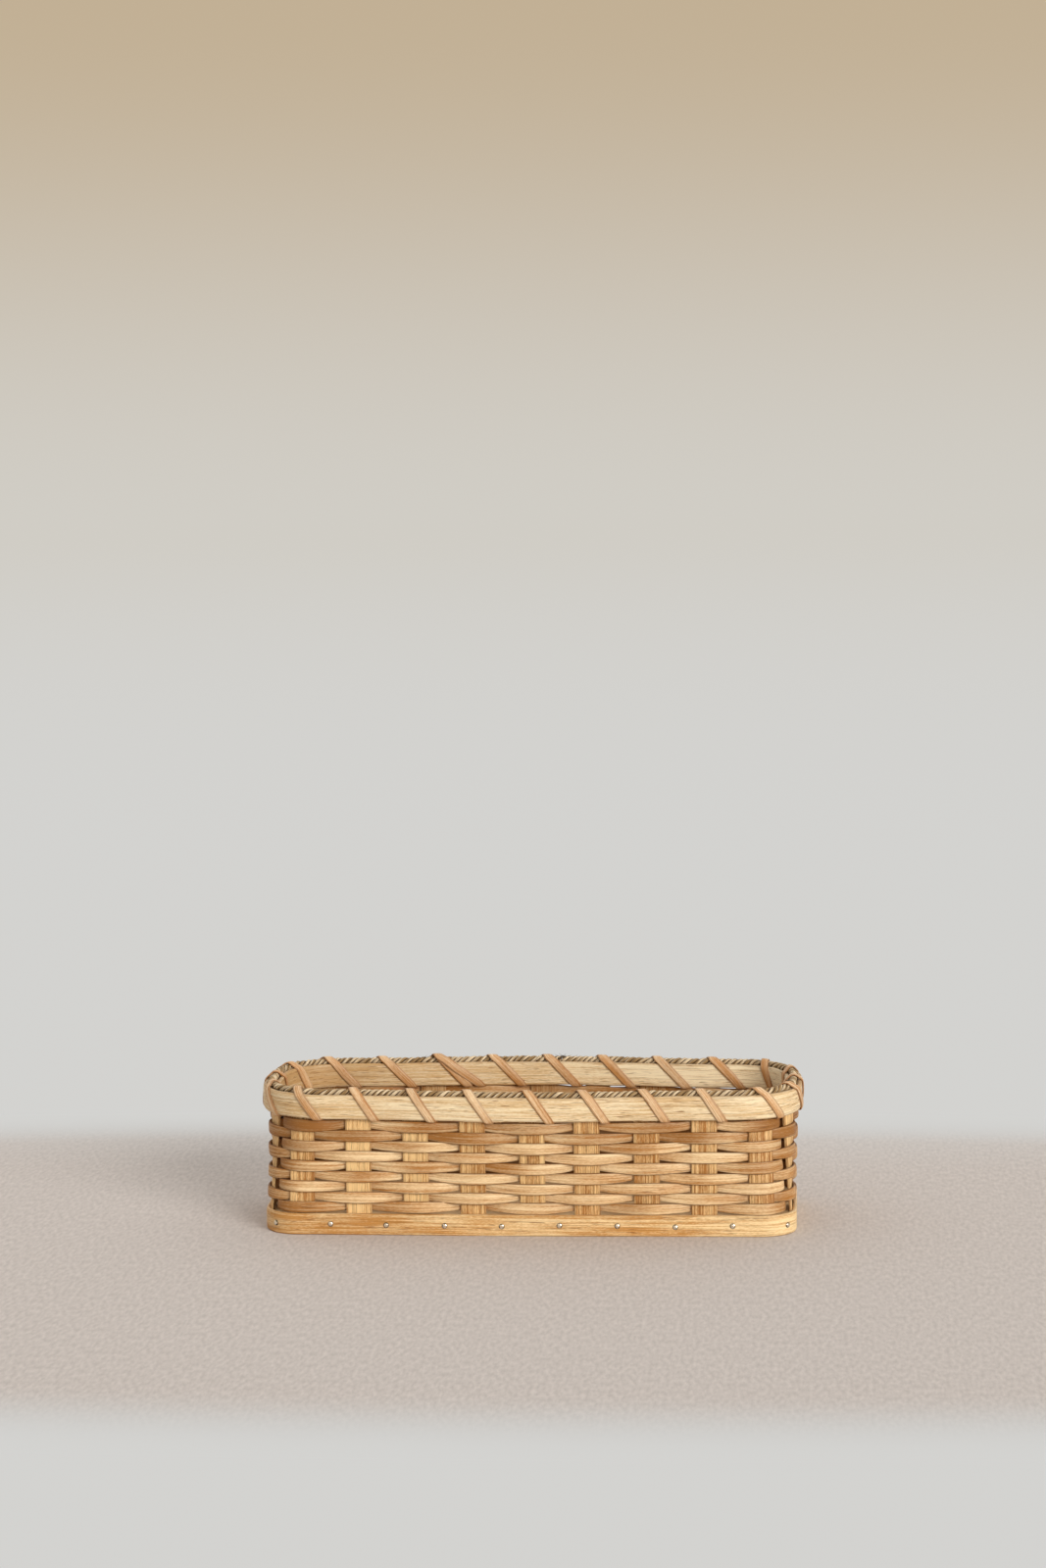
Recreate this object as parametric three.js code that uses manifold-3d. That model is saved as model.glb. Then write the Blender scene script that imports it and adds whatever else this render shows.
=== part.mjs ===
// A long, narrow cracker basket, woven of flat reed on a wooden base.
//
// Flat stakes stand round the edge of a wooden board, held by a reed band that small domed nails
// pin to the board. Nine separate rows of narrow reed are woven over and under the stakes. Two
// wider reed bands clamp the stakes' tops and a hidden woven row. A sea grass cord lies along the
// top between the bands, and one long reed strip is lashed round them all, once in each gap.
//
// Millimetres, +Z up, +X along the length, the front facing -Y. The origin is the centre of the
// underside. A station is a place along the wall: whole numbers are the stakes' middles, from the
// left of the front and on to the right. An offset is outwards from the stakes' middle surface.

import * as THREE from 'three';
import { mergeVertices } from 'three/addons/utils/BufferGeometryUtils.js';
import Module from 'manifold-3d';

const wasm = await Module();
wasm.setup();

// The basket's shape in plan, measured outside the base band and outside the rim band
const baseLength = 330;
const baseWidth = 110;
const baseCornerRadius = 22;
const baseBow = 1.5;
const rimLength = 337;
const rimWidth = 112;
const rimCornerRadius = 44;
const rimBow = 8;

// The wooden board and the reed band round its edge
const boardThickness = 12.5;
const bandHeight = 13.5;
const bandThickness = 2.6;
const bandEdgeThickness = 1.4;
const bandShoulder = 2.2;

// The upright stakes on each long side and round each end
const sideStakes = 9;
const endStakes = 3;
const stakeWidth = 15.9;
const stakeThickness = 1.6;
const stakePitch = 35.3;
const stakeShift = 2.5;

// The woven rows
const rowCount = 9;
const rowPitch = 6.4;
const weaverWidth = 6.1;
const weaverThickness = 2;

// The rim: two bands, the hidden row between them and the sea grass cord on top
const rimBandHeight = 15;
const rimBandThickness = 3;
const rimBandEdgeThickness = 1.2;
const rimBandShoulder = 2.9;
const coreRowHeight = 11;
const coreRowThickness = 1.1;
const fillerDiameter = 5.2;

// The lashing. Its leads are distances round the rim from a wrap's stake: where it leaves the top
// outside and where it reaches the top inside, on its way to the stake. Its steps are how far it
// moves on under the bands, and how far its two ends lie apart.
const lashWidth = 6.2;
const lashThickness = 1.1;
const lashTopLead = -2.6;
const lashArrivalLead = -3.1;
const lashUnderStep = 2;
const lashEndStep = 7.8;

// The nails
const nailHeadRadius = 1.5;
const nailHeadHeight = 1;
const nailShankRadius = 0.7;
const nailTipLength = 1.4;
const nailLength = 14;

// What keeps touching pieces apart
const clearance = 0.3;
const rowClearance = 0.2;
const lashClearance = 0.45;
const endGap = 0.5;

// How fine the curves are: the most that a run turns between two sections, the levels of a stake
// that twists, and the sides of a round piece
const turnPerStep = THREE.MathUtils.degToRad(14);
const twistLevels = 7;
const roundSides = 8;

const stakeCount = 2 * (sideStakes + endStakes);
const reedOffset = stakeThickness / 2 + clearance;
const rowsBottom = bandHeight + rowClearance;
const rowsTop = rowsBottom + rowCount * rowPitch;
const rimBottom = rowsTop + lashThickness + lashClearance;
const rimTop = rimBottom + rimBandHeight;
const rimCavity = reedOffset + coreRowThickness + clearance;
const fillerRadius = fillerDiameter / 2;
const fillerHeight = rimTop + Math.sqrt(fillerRadius ** 2 - (rimCavity - clearance) ** 2);
const stakeTop = fillerHeight - fillerRadius - clearance;
const nailHeight = boardThickness / 2;

// The stakes at which each piece that goes round the basket meets its own end
const baseBandJoint = 2 * sideStakes + endStakes;
const oddRowJoint = 2 * sideStakes + endStakes;
const innerBandJoint = (sideStakes - 1) / 2;
const outerBandJoint = sideStakes + endStakes + 3;
const fillerJoint = sideStakes + endStakes + 4;
const lashJoint = sideStakes + endStakes + 6;

const reed = (color, roughness) => new THREE.MeshStandardMaterial({ color, roughness, metalness: 0 });
const finishes = {
  board: reed(0xc9975a, 0.6),
  baseBand: reed(0xd9ab68, 0.55),
  stake: reed(0xc8944f, 0.65),
  weaver: reed(0xc98f56, 0.6),
  rimBand: reed(0xe6cc97, 0.6),
  lash: reed(0xd0975f, 0.5),
  seaGrass: reed(0xb9a47c, 0.8),
  nail: new THREE.MeshStandardMaterial({ color: 0xbfb8aa, roughness: 0.3, metalness: 1 }),
};

// The stakes' middle surface in plan, from an outer size and what lies outside that surface.
function outline(length, width, cornerRadius, bow, inset) {
  const halfLength = length / 2 - inset;
  const halfWidth = width / 2 - inset;
  const radius = cornerRadius - inset;
  const side = halfLength - radius;
  const corner = (Math.PI / 2) * radius;
  const end = halfWidth - radius;
  return { halfLength, halfWidth, radius, bow, side, corner, end, quarter: side + corner + end };
}

const foot = outline(baseLength, baseWidth, baseCornerRadius, baseBow, bandThickness + reedOffset);
const rim = outline(rimLength, rimWidth, rimCornerRadius, rimBow, rimBandThickness + rimCavity);

// The front right quarter of an outline, from the middle of the front to the middle of the end.
function quarterPoint({ side, corner, end, radius, halfLength, halfWidth, bow }, s) {
  if (s < side) {
    const phase = (Math.PI * s) / (2 * side);
    const slope = ((bow * Math.PI) / (2 * side)) * Math.sin(2 * phase);
    const normal = new THREE.Vector2(slope, -1).normalize();
    return { x: s, y: -halfWidth - bow * Math.cos(phase) ** 2, normal };
  }
  if (s < side + corner) {
    const angle = (s - side) / radius;
    const normal = new THREE.Vector2(Math.sin(angle), -Math.cos(angle));
    return { x: side + radius * normal.x, y: -end + radius * normal.y, normal };
  }
  return { x: halfLength, y: -end + s - side - corner, normal: new THREE.Vector2(1, 0) };
}

// A point of an outline at a distance round it from the middle of the front.
function outlinePoint(shape, distance, offset) {
  const { quarter } = shape;
  const s = THREE.MathUtils.euclideanModulo(distance, 4 * quarter);
  const index = Math.floor(s / quarter);
  const along = index % 2 ? (index + 1) * quarter - s : s - index * quarter;
  const { x, y, normal } = quarterPoint(shape, along);
  const mirrorX = index > 1 ? -1 : 1;
  const mirrorY = index === 1 || index === 2 ? -1 : 1;
  return new THREE.Vector2(mirrorX * (x + offset * normal.x), mirrorY * (y + offset * normal.y));
}

// The distance of stake number i round an outline. Numbers past the last stake count on.
function stakeDistance({ quarter }, i) {
  const turn = Math.floor(i / stakeCount);
  const k = i - turn * stakeCount;
  const first = stakeShift - ((sideStakes - 1) / 2) * stakePitch;
  const last = first + (sideStakes - 1) * stakePitch;
  const backFirst = 2 * quarter - last;
  const backNumber = k - sideStakes - endStakes;
  const spread = (from, to, number) => THREE.MathUtils.lerp(from, to, number / (endStakes + 1));
  let distance;
  if (k < sideStakes) {
    distance = first + k * stakePitch;
  } else if (backNumber < 0) {
    distance = spread(last, backFirst, k - sideStakes + 1);
  } else if (backNumber < sideStakes) {
    distance = backFirst + backNumber * stakePitch;
  } else {
    distance = spread(2 * quarter - first, 4 * quarter + first, backNumber - sideStakes + 1);
  }
  return distance + turn * 4 * quarter;
}

// In stations, how far a stake's edges lie from its middle, and how wide the gap between two is
const stakeEdge = 0.25;
const gapSpan = 1 - 2 * stakeEdge;

// The distance of a station round an outline.
function stationDistance(shape, station) {
  const i = Math.round(station);
  const share = station - i;
  const side = Math.sign(share);
  const middle = stakeDistance(shape, i);
  const edge = middle + (side * stakeWidth) / 2;
  if (Math.abs(share) <= stakeEdge) {
    return THREE.MathUtils.lerp(middle, edge, Math.abs(share) / stakeEdge);
  }
  const nextEdge = stakeDistance(shape, i + side) - (side * stakeWidth) / 2;
  return THREE.MathUtils.lerp(edge, nextEdge, (Math.abs(share) - stakeEdge) / gapSpan);
}

// The station of a distance round the rim.
function rimStation(distance) {
  let i = 0;
  while (stakeDistance(rim, i + 1) - stakeWidth / 2 <= distance) {
    i++;
  }
  const past = distance - stakeDistance(rim, i);
  if (past <= stakeWidth / 2) return i + (past / stakeWidth) * 2 * stakeEdge;
  const gap = stakeDistance(rim, i + 1) - stakeDistance(rim, i) - stakeWidth;
  return i + stakeEdge + ((past - stakeWidth / 2) / gap) * gapSpan;
}

// A point of the wall, which stands upright in the base band, leans straight from there to the
// rim and stands upright inside the rim.
function wallPoint(station, z, offset) {
  const rise = THREE.MathUtils.clamp((z - bandHeight) / (rimBottom - bandHeight), 0, 1);
  const low = outlinePoint(foot, stationDistance(foot, station), offset);
  const high = outlinePoint(rim, stationDistance(rim, station), offset);
  return new THREE.Vector3(...low.lerp(high, rise), z);
}

// How far an outline turns between two stations.
function turnBetween(shape, from, to) {
  const [a, b] = [from, to].map((station) => {
    const distance = stationDistance(shape, station);
    return outlinePoint(shape, distance, 1).sub(outlinePoint(shape, distance, 0));
  });
  return Math.abs(Math.atan2(a.cross(b), a.dot(b)));
}

// Stations from one to just short of another, halved until each step turns little.
function splitRun(from, to) {
  const turn = Math.max(turnBetween(foot, from, to), turnBetween(rim, from, to));
  if (turn <= turnPerStep) return [from];
  const middle = (from + to) / 2;
  return [...splitRun(from, middle), ...splitRun(middle, to)];
}

// The stations that every piece shares, over two turns: each stake's edges, and closer where the
// wall turns.
const sharedStations = Array.from({ length: 2 * stakeCount }, (_, i) => [
  ...splitRun(i - stakeEdge, i + stakeEdge),
  ...splitRun(i + stakeEdge, i + 1 - stakeEdge),
]).flat();

const stationsBetween = (from, to) => [from, ...sharedStations.filter((u) => u > from && u < to), to];

// Once round the wall from a stake's middle to just short of it.
function onceRound(joint) {
  const gapInStations = (endGap / stakeWidth) * 2 * stakeEdge;
  return stationsBetween(joint, joint + stakeCount - gapInStations);
}

// A geometry from points and triangles of point numbers, with its faces turned outwards.
function closedGeometry(points, triangles) {
  const volume = triangles.reduce((sum, [a, b, c]) => {
    return sum + points[a].dot(new THREE.Vector3().crossVectors(points[b], points[c]));
  }, 0);
  const geometry = new THREE.BufferGeometry().setFromPoints(points);
  geometry.setIndex(triangles.flatMap(([a, b, c]) => (volume > 0 ? [a, b, c] : [a, c, b])));
  geometry.computeVertexNormals();
  return geometry;
}

// A closed solid through a run of sections. Each section lists its points so that point k faces
// the k-th from the end, which is how the two ends are closed off.
function sweep(sections) {
  const count = sections[0].length;
  const points = sections.flat();
  const triangles = [];
  const quad = (a, b, c, d) => {
    const isShort = points[a].distanceToSquared(points[c]) <= points[b].distanceToSquared(points[d]);
    triangles.push(...(isShort ? [[a, b, c], [a, c, d]] : [[a, b, d], [b, c, d]]));
  };
  for (let here = 0; here < points.length - count; here += count) {
    for (let k = 0; k < count; k++) {
      const after = (k + 1) % count;
      quad(here + k, here + after, here + count + after, here + count + k);
    }
  }
  const last = points.length - count;
  for (let k = 0; k < count / 2 - 1; k++) {
    quad(k, count - 1 - k, count - 2 - k, k + 1);
    quad(last + k, last + k + 1, last + count - 2 - k, last + count - 1 - k);
  }
  return closedGeometry(points, triangles);
}

// A band of one section, listed as [offset, height] points, once round the wall.
function wallBand(joint, section) {
  return sweep(onceRound(joint).map((u) => section.map(([offset, z]) => wallPoint(u, z, offset))));
}

// The section of a flat oval reed: flat towards the wall, thin at its edges and rounded outside.
function ovalSection(inner, bottom, height, thickness, edgeThickness, shoulder) {
  const top = bottom + height;
  return [
    [inner, bottom],
    [inner + edgeThickness, bottom],
    [inner + thickness, bottom + shoulder],
    [inner + thickness, top - shoulder],
    [inner + edgeThickness, top],
    [inner, top],
  ];
}

// A woven strip, outside one stake and inside the next. Its ends meet inside a stake.
function wovenRow(number, bottom, height, thickness) {
  const swing = reedOffset + thickness / 2;
  const joint = oddRowJoint + (number % 2 ? 0 : 1);
  return sweep(onceRound(joint).map((u) => {
    const i = Math.floor(u + stakeEdge);
    const intoGap = Math.max(0, (u - i - stakeEdge) / gapSpan);
    const side = (i + number) % 2 ? 1 : -1;
    const offset = side * swing * Math.cos(Math.PI * intoGap);
    const corner = (z, face) => wallPoint(u, z, offset + (face * thickness) / 2);
    const top = bottom + height;
    return [corner(bottom, -1), corner(bottom, 1), corner(top, 1), corner(top, -1)];
  }));
}

// An upright flat stake, which follows the wall's curve across its width. One that stands where
// the wall turns also twists as it leans, so it has more levels.
function stake(i) {
  const across = stationsBetween(i + stakeCount - stakeEdge, i + stakeCount + stakeEdge);
  const half = stakeThickness / 2;
  const steps = across.length > 2 ? twistLevels : 2;
  const lean = (_, k) => THREE.MathUtils.lerp(bandHeight, rimBottom, k / steps);
  const levels = [clearance, ...Array.from({ length: steps }, lean), rimBottom, stakeTop];
  return sweep(levels.map((z) => [
    ...across.map((u) => wallPoint(u, z, half)),
    ...across.toReversed().map((u) => wallPoint(u, z, -half)),
  ]));
}

// The manifold solid of a geometry, and back again, for the nail holes.
function toSolid(geometry) {
  const bare = geometry.clone();
  bare.deleteAttribute('normal');
  bare.deleteAttribute('uv');
  const merged = mergeVertices(bare);
  const vertProperties = new Float32Array(merged.attributes.position.array);
  const triVerts = new Uint32Array(merged.index.array);
  return new wasm.Manifold(new wasm.Mesh({ numProp: 3, vertProperties, triVerts }));
}

function fromSolid(solid) {
  const { vertProperties, triVerts } = solid.getMesh();
  const geometry = new THREE.BufferGeometry();
  geometry.setAttribute('position', new THREE.BufferAttribute(vertProperties, 3));
  geometry.setIndex(new THREE.BufferAttribute(triVerts, 1));
  geometry.computeVertexNormals();
  return geometry;
}

// The gaps that hold a nail, each numbered by the stake before it: those beside a side stake.
const isSide = (i) => i % (stakeCount / 2) < sideStakes;
const nailGaps = Array.from({ length: stakeCount }, (_, i) => i).filter((i) => isSide(i) || isSide(i + 1));

// Sets an object whose own +Y points along a nail, out of the band, at the middle of a gap.
function setAtGap(object, i) {
  const station = i + stakeEdge + gapSpan / 2;
  const seat = wallPoint(station, nailHeight, reedOffset + bandThickness);
  const outward = seat.clone().sub(wallPoint(station, nailHeight, 0)).normalize();
  object.position.copy(seat);
  object.quaternion.setFromUnitVectors(new THREE.Vector3(0, 1, 0), outward);
  object.updateMatrix();
  return object;
}

// A nail along +Y with a domed head, whose underside stands clear of the band's face at 0.
function nail() {
  const dome = [0, Math.PI / 4, Math.PI / 2].map((angle) => [
    nailHeadRadius * Math.cos(angle),
    clearance + nailHeadHeight * Math.sin(angle),
  ]);
  const shank = [
    [0, -nailLength],
    [nailShankRadius, nailTipLength - nailLength],
    [nailShankRadius, clearance],
  ];
  const profile = [...shank, ...dome].map(([x, y]) => new THREE.Vector2(x, y));
  return new THREE.LatheGeometry(profile, roundSides);
}

// Drills a hole for each nail, a clear fit round its shank and past its tip.
function drilled(geometry) {
  const radius = nailShankRadius + clearance;
  const depth = nailLength + 2 * clearance;
  const drill = new THREE.CylinderGeometry(radius, radius, depth, roundSides);
  drill.rotateY(Math.PI / roundSides).translate(0, clearance - depth / 2, 0);
  const place = new THREE.Object3D();
  const holes = nailGaps.map((i) => toSolid(drill.clone().applyMatrix4(setAtGap(place, i).matrix)));
  return fromSolid(holes.reduce((solid, hole) => solid.subtract(hole), toSolid(geometry)));
}

// The board, whose faces are fans of triangles about their middles.
function baseBoard() {
  const stations = sharedStations.filter((u) => u < stakeCount - stakeEdge);
  const count = stations.length;
  const faces = [0, boardThickness];
  const edges = faces.map((z) => stations.map((u) => wallPoint(u, z, -reedOffset)));
  const middles = faces.map((z) => new THREE.Vector3(0, 0, z));
  const triangles = stations.flatMap((_, k) => {
    const next = (k + 1) % count;
    return [
      [k, next, count + next],
      [k, count + next, count + k],
      [next, k, 2 * count],
      [count + k, count + next, 2 * count + 1],
    ];
  });
  return drilled(closedGeometry([...edges.flat(), ...middles], triangles));
}

function baseBand() {
  const section = ovalSection(reedOffset, 0, bandHeight, bandThickness, bandEdgeThickness, bandShoulder);
  return drilled(wallBand(baseBandJoint, section));
}

// One of the two rim bands, outside the wall (1) or inside it (-1).
function rimBand(side, joint) {
  const section = ovalSection(
    rimCavity, rimBottom, rimBandHeight, rimBandThickness, rimBandEdgeThickness, rimBandShoulder,
  );
  return wallBand(joint, section.map(([offset, z]) => [side * offset, z]));
}

function seaGrass() {
  return wallBand(fillerJoint, Array.from({ length: roundSides }, (_, k) => {
    const angle = ((k + 0.5) / roundSides) * 2 * Math.PI;
    return [fillerRadius * Math.cos(angle), fillerHeight + fillerRadius * Math.sin(angle)];
  }));
}

// The corners of a face that wraps round the rim at a distance from it, as [offset, height] pairs:
// from the top outwards and down the outside.
function wrapSide(distance) {
  const shoulderTurn = Math.atan2(rimBandThickness - rimBandEdgeThickness, rimBandShoulder);
  const faceShift = distance * Math.tan(shoulderTurn / 2);
  const edgeShift = distance * Math.tan((Math.PI / 2 - shoulderTurn) / 2);
  const face = rimCavity + rimBandThickness + distance;
  return [
    [fillerRadius * Math.SQRT1_2 + edgeShift, fillerHeight + fillerRadius + distance],
    [face, rimTop - rimBandShoulder + faceShift],
    [face, rimBottom + rimBandShoulder - faceShift],
    [rimCavity + rimBandEdgeThickness + edgeShift, rimBottom - distance],
  ];
}

// The same corners all the way round: down the outside, under the bands and up the inside.
function rimWrap(distance) {
  const side = wrapSide(distance);
  return [...side, ...side.toReversed().map(([offset, z]) => [-offset, z])];
}

// The corners of the whole lashing, each with its distance round the rim. A wrap comes down the
// outside over its stake, passes under the bands just clear of it and climbs to the next inside.
// The lashing starts with a climb beside its own end.
function lashPath() {
  const side = wrapSide(lashClearance);
  const steps = side.slice(1).map(([x, z], k) => Math.hypot(x - side[k][0], z - side[k][1]));
  const total = steps.reduce((sum, step) => sum + step, 0);
  const shares = [0, ...steps.map((_, k) => steps.slice(0, k + 1).reduce((a, b) => a + b) / total)];
  const descent = (from, to) => shares.map((share, k) => ({
    distance: THREE.MathUtils.lerp(from, to, share),
    corner: k,
  }));
  const climb = (from, to) => shares.toReversed().map((share, k) => ({
    distance: THREE.MathUtils.lerp(to, from, share),
    corner: shares.length + k,
  }));
  const underLead = stakeWidth / 2 + clearance + lashWidth / Math.SQRT2 - lashUnderStep / 2;
  const first = stakeDistance(rim, lashJoint) + lashArrivalLead;
  const path = climb(first - lashEndStep, first);
  for (let i = lashJoint; i < lashJoint + stakeCount; i++) {
    const here = stakeDistance(rim, i);
    const under = here + underLead;
    const isLast = i === lashJoint + stakeCount - 1;
    const arrival = stakeDistance(rim, i + 1) + lashArrivalLead - (isLast ? lashEndStep : 0);
    path.push(...descent(here + lashTopLead, under), ...climb(under + lashUnderStep, arrival));
  }
  return path;
}

// The lashing's sections, each a line of four corners across the strip, which lies aslant.
function lashSections() {
  const inner = rimWrap(lashClearance);
  const outer = rimWrap(lashClearance + lashThickness);
  const path = lashPath();
  return path.map(({ distance, corner }, k) => {
    const before = path[Math.max(0, k - 1)];
    const after = path[Math.min(path.length - 1, k + 1)];
    const [x, z] = [0, 1].map((axis) => inner[after.corner][axis] - inner[before.corner][axis]);
    const slant = Math.hypot(1, (after.distance - before.distance) / Math.hypot(x, z));
    const half = (lashWidth / 2) * slant;
    const place = (shift, [offset, height]) => wallPoint(rimStation(distance + shift), height, offset);
    return [
      place(-half, inner[corner]),
      place(half, inner[corner]),
      place(half, outer[corner]),
      place(-half, outer[corner]),
    ];
  });
}

// The least distance between points of the lashing that lie half a wrap or more apart along it.
function leastLashGap(sections) {
  const stepsBetween = 6;
  const levels = sections.slice(1).flatMap((section, k) => {
    return Array.from({ length: stepsBetween }, (_, j) => {
      const corners = section.map((p, c) => sections[k][c].clone().lerp(p, j / stepsBetween));
      const middle = corners[0].clone().lerp(corners[1], 0.5);
      return [...corners, middle];
    });
  });
  const apart = (rimWrap(0).length * stepsBetween) / 2;
  let least = Infinity;
  for (let k = apart; k < levels.length; k++) {
    for (const other of levels.slice(0, k - apart)) {
      for (const p of levels[k]) {
        least = Math.min(least, ...other.map((q) => p.distanceTo(q)));
      }
    }
  }
  return least;
}

const basket = new THREE.Group();

function add(name, geometry, material) {
  const mesh = new THREE.Mesh(geometry, material);
  mesh.name = name;
  basket.add(mesh);
  return mesh;
}

// Names a stake by its side, numbered from the left along the long sides.
function stakeName(i) {
  if (i < sideStakes) return `stake_front_${i + 1}`;
  if (i < sideStakes + endStakes) return `stake_right_${i - sideStakes + 1}`;
  if (i < 2 * sideStakes + endStakes) return `stake_back_${2 * sideStakes + endStakes - i}`;
  return `stake_left_${stakeCount - i}`;
}

// Names a nail by its side, numbered from the left.
function nailName(i) {
  const fromCorner = (i + 1) % stakeCount;
  if (fromCorner <= sideStakes) return `nail_front_${fromCorner + 1}`;
  return `nail_back_${2 * sideStakes + endStakes - i}`;
}

add('base_board', baseBoard(), finishes.board);
add('base_band', baseBand(), finishes.baseBand);
for (const i of nailGaps) {
  setAtGap(add(nailName(i), nail(), finishes.nail), i);
}
for (let i = 0; i < stakeCount; i++) {
  add(stakeName(i), stake(i), finishes.stake);
}
for (let number = 1; number <= rowCount; number++) {
  const bottom = rowsBottom + (number - 1) * rowPitch + (rowPitch - weaverWidth) / 2;
  add(`weaver_row_${number}`, wovenRow(number, bottom, weaverWidth, weaverThickness), finishes.weaver);
}
const coreRow = wovenRow(rowCount + 1, rimBottom + clearance, coreRowHeight, coreRowThickness);
add('rim_core_row', coreRow, finishes.weaver);
add('rim_band_outer', rimBand(1, outerBandJoint), finishes.rimBand);
add('rim_band_inner', rimBand(-1, innerBandJoint), finishes.rimBand);
add('rim_filler', seaGrass(), finishes.seaGrass);
const sections = lashSections();
add('rim_lashing', sweep(sections), finishes.lash);
console.log(`The lashing's least gap to itself is ${leastLashGap(sections).toFixed(2)} mm.`);

export default basket;
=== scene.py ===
"""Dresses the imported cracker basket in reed, sea grass and small nails, on a plain pale floor.

Sizes are in millimetres until a mesh is made, which is in metres. +X runs along the basket, its
front faces -Y and +Z is up. A station is a place along the wall: whole numbers are the middles of
the upright stakes, counted from the left of the front and on to the right, so that half numbers
are the middles of the gaps. An offset is outwards from the stakes' middle surface.
"""

import logging
import math
import random
from dataclasses import dataclass, replace
from enum import Enum
from functools import reduce
from typing import Any, Sequence

import bpy
import numpy as np
from mathutils import Matrix, Vector


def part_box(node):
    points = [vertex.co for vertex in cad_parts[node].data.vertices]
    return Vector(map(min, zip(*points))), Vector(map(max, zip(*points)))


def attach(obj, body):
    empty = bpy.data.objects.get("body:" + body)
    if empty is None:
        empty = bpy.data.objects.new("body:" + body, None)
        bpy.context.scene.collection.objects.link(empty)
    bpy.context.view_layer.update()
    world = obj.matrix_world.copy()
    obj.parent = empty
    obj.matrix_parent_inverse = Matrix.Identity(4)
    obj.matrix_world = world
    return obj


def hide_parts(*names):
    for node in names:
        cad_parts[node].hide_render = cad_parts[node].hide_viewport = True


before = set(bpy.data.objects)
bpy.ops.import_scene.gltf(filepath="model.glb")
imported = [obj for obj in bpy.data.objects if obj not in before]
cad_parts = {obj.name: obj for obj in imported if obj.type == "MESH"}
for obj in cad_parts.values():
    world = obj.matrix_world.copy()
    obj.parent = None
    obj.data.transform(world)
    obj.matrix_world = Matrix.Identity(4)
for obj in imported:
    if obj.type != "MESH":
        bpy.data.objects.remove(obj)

log = logging.getLogger("cracker_basket")

MM = 0.001
BODY = "root"
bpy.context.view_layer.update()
UP = np.array([0.0, 0.0, 1.0])

Array = np.ndarray
Socket = bpy.types.NodeSocket


def linear(hex_colour: str) -> tuple[float, float, float, float]:
    """Turns an sRGB colour into the linear one that a shader works in.

    Args:
        hex_colour: The colour as a hash and six hexadecimal digits.

    Returns:
        Linear red, green and blue, and an alpha of 1.
    """
    channels = [int(hex_colour[k:k + 2], 16) / 255 for k in (1, 3, 5)]
    red, green, blue = [c / 12.92 if c <= 0.04045 else ((c + 0.055) / 1.055) ** 2.4 for c in channels]
    return red, green, blue, 1.0


def unit(vectors: Array) -> Array:
    """Scales vectors, one in each row, to length 1."""
    return vectors / np.linalg.norm(vectors, axis=-1, keepdims=True)


def put_in_scene(name: str, data: bpy.types.ID) -> bpy.types.Object:
    """Makes an object at the scene's origin.

    Args:
        name: Its name.
        data: Its mesh, lamp or camera.

    Returns:
        The new object.
    """
    thing = bpy.data.objects.new(name, data)
    bpy.context.scene.collection.objects.link(thing)
    return thing


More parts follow.
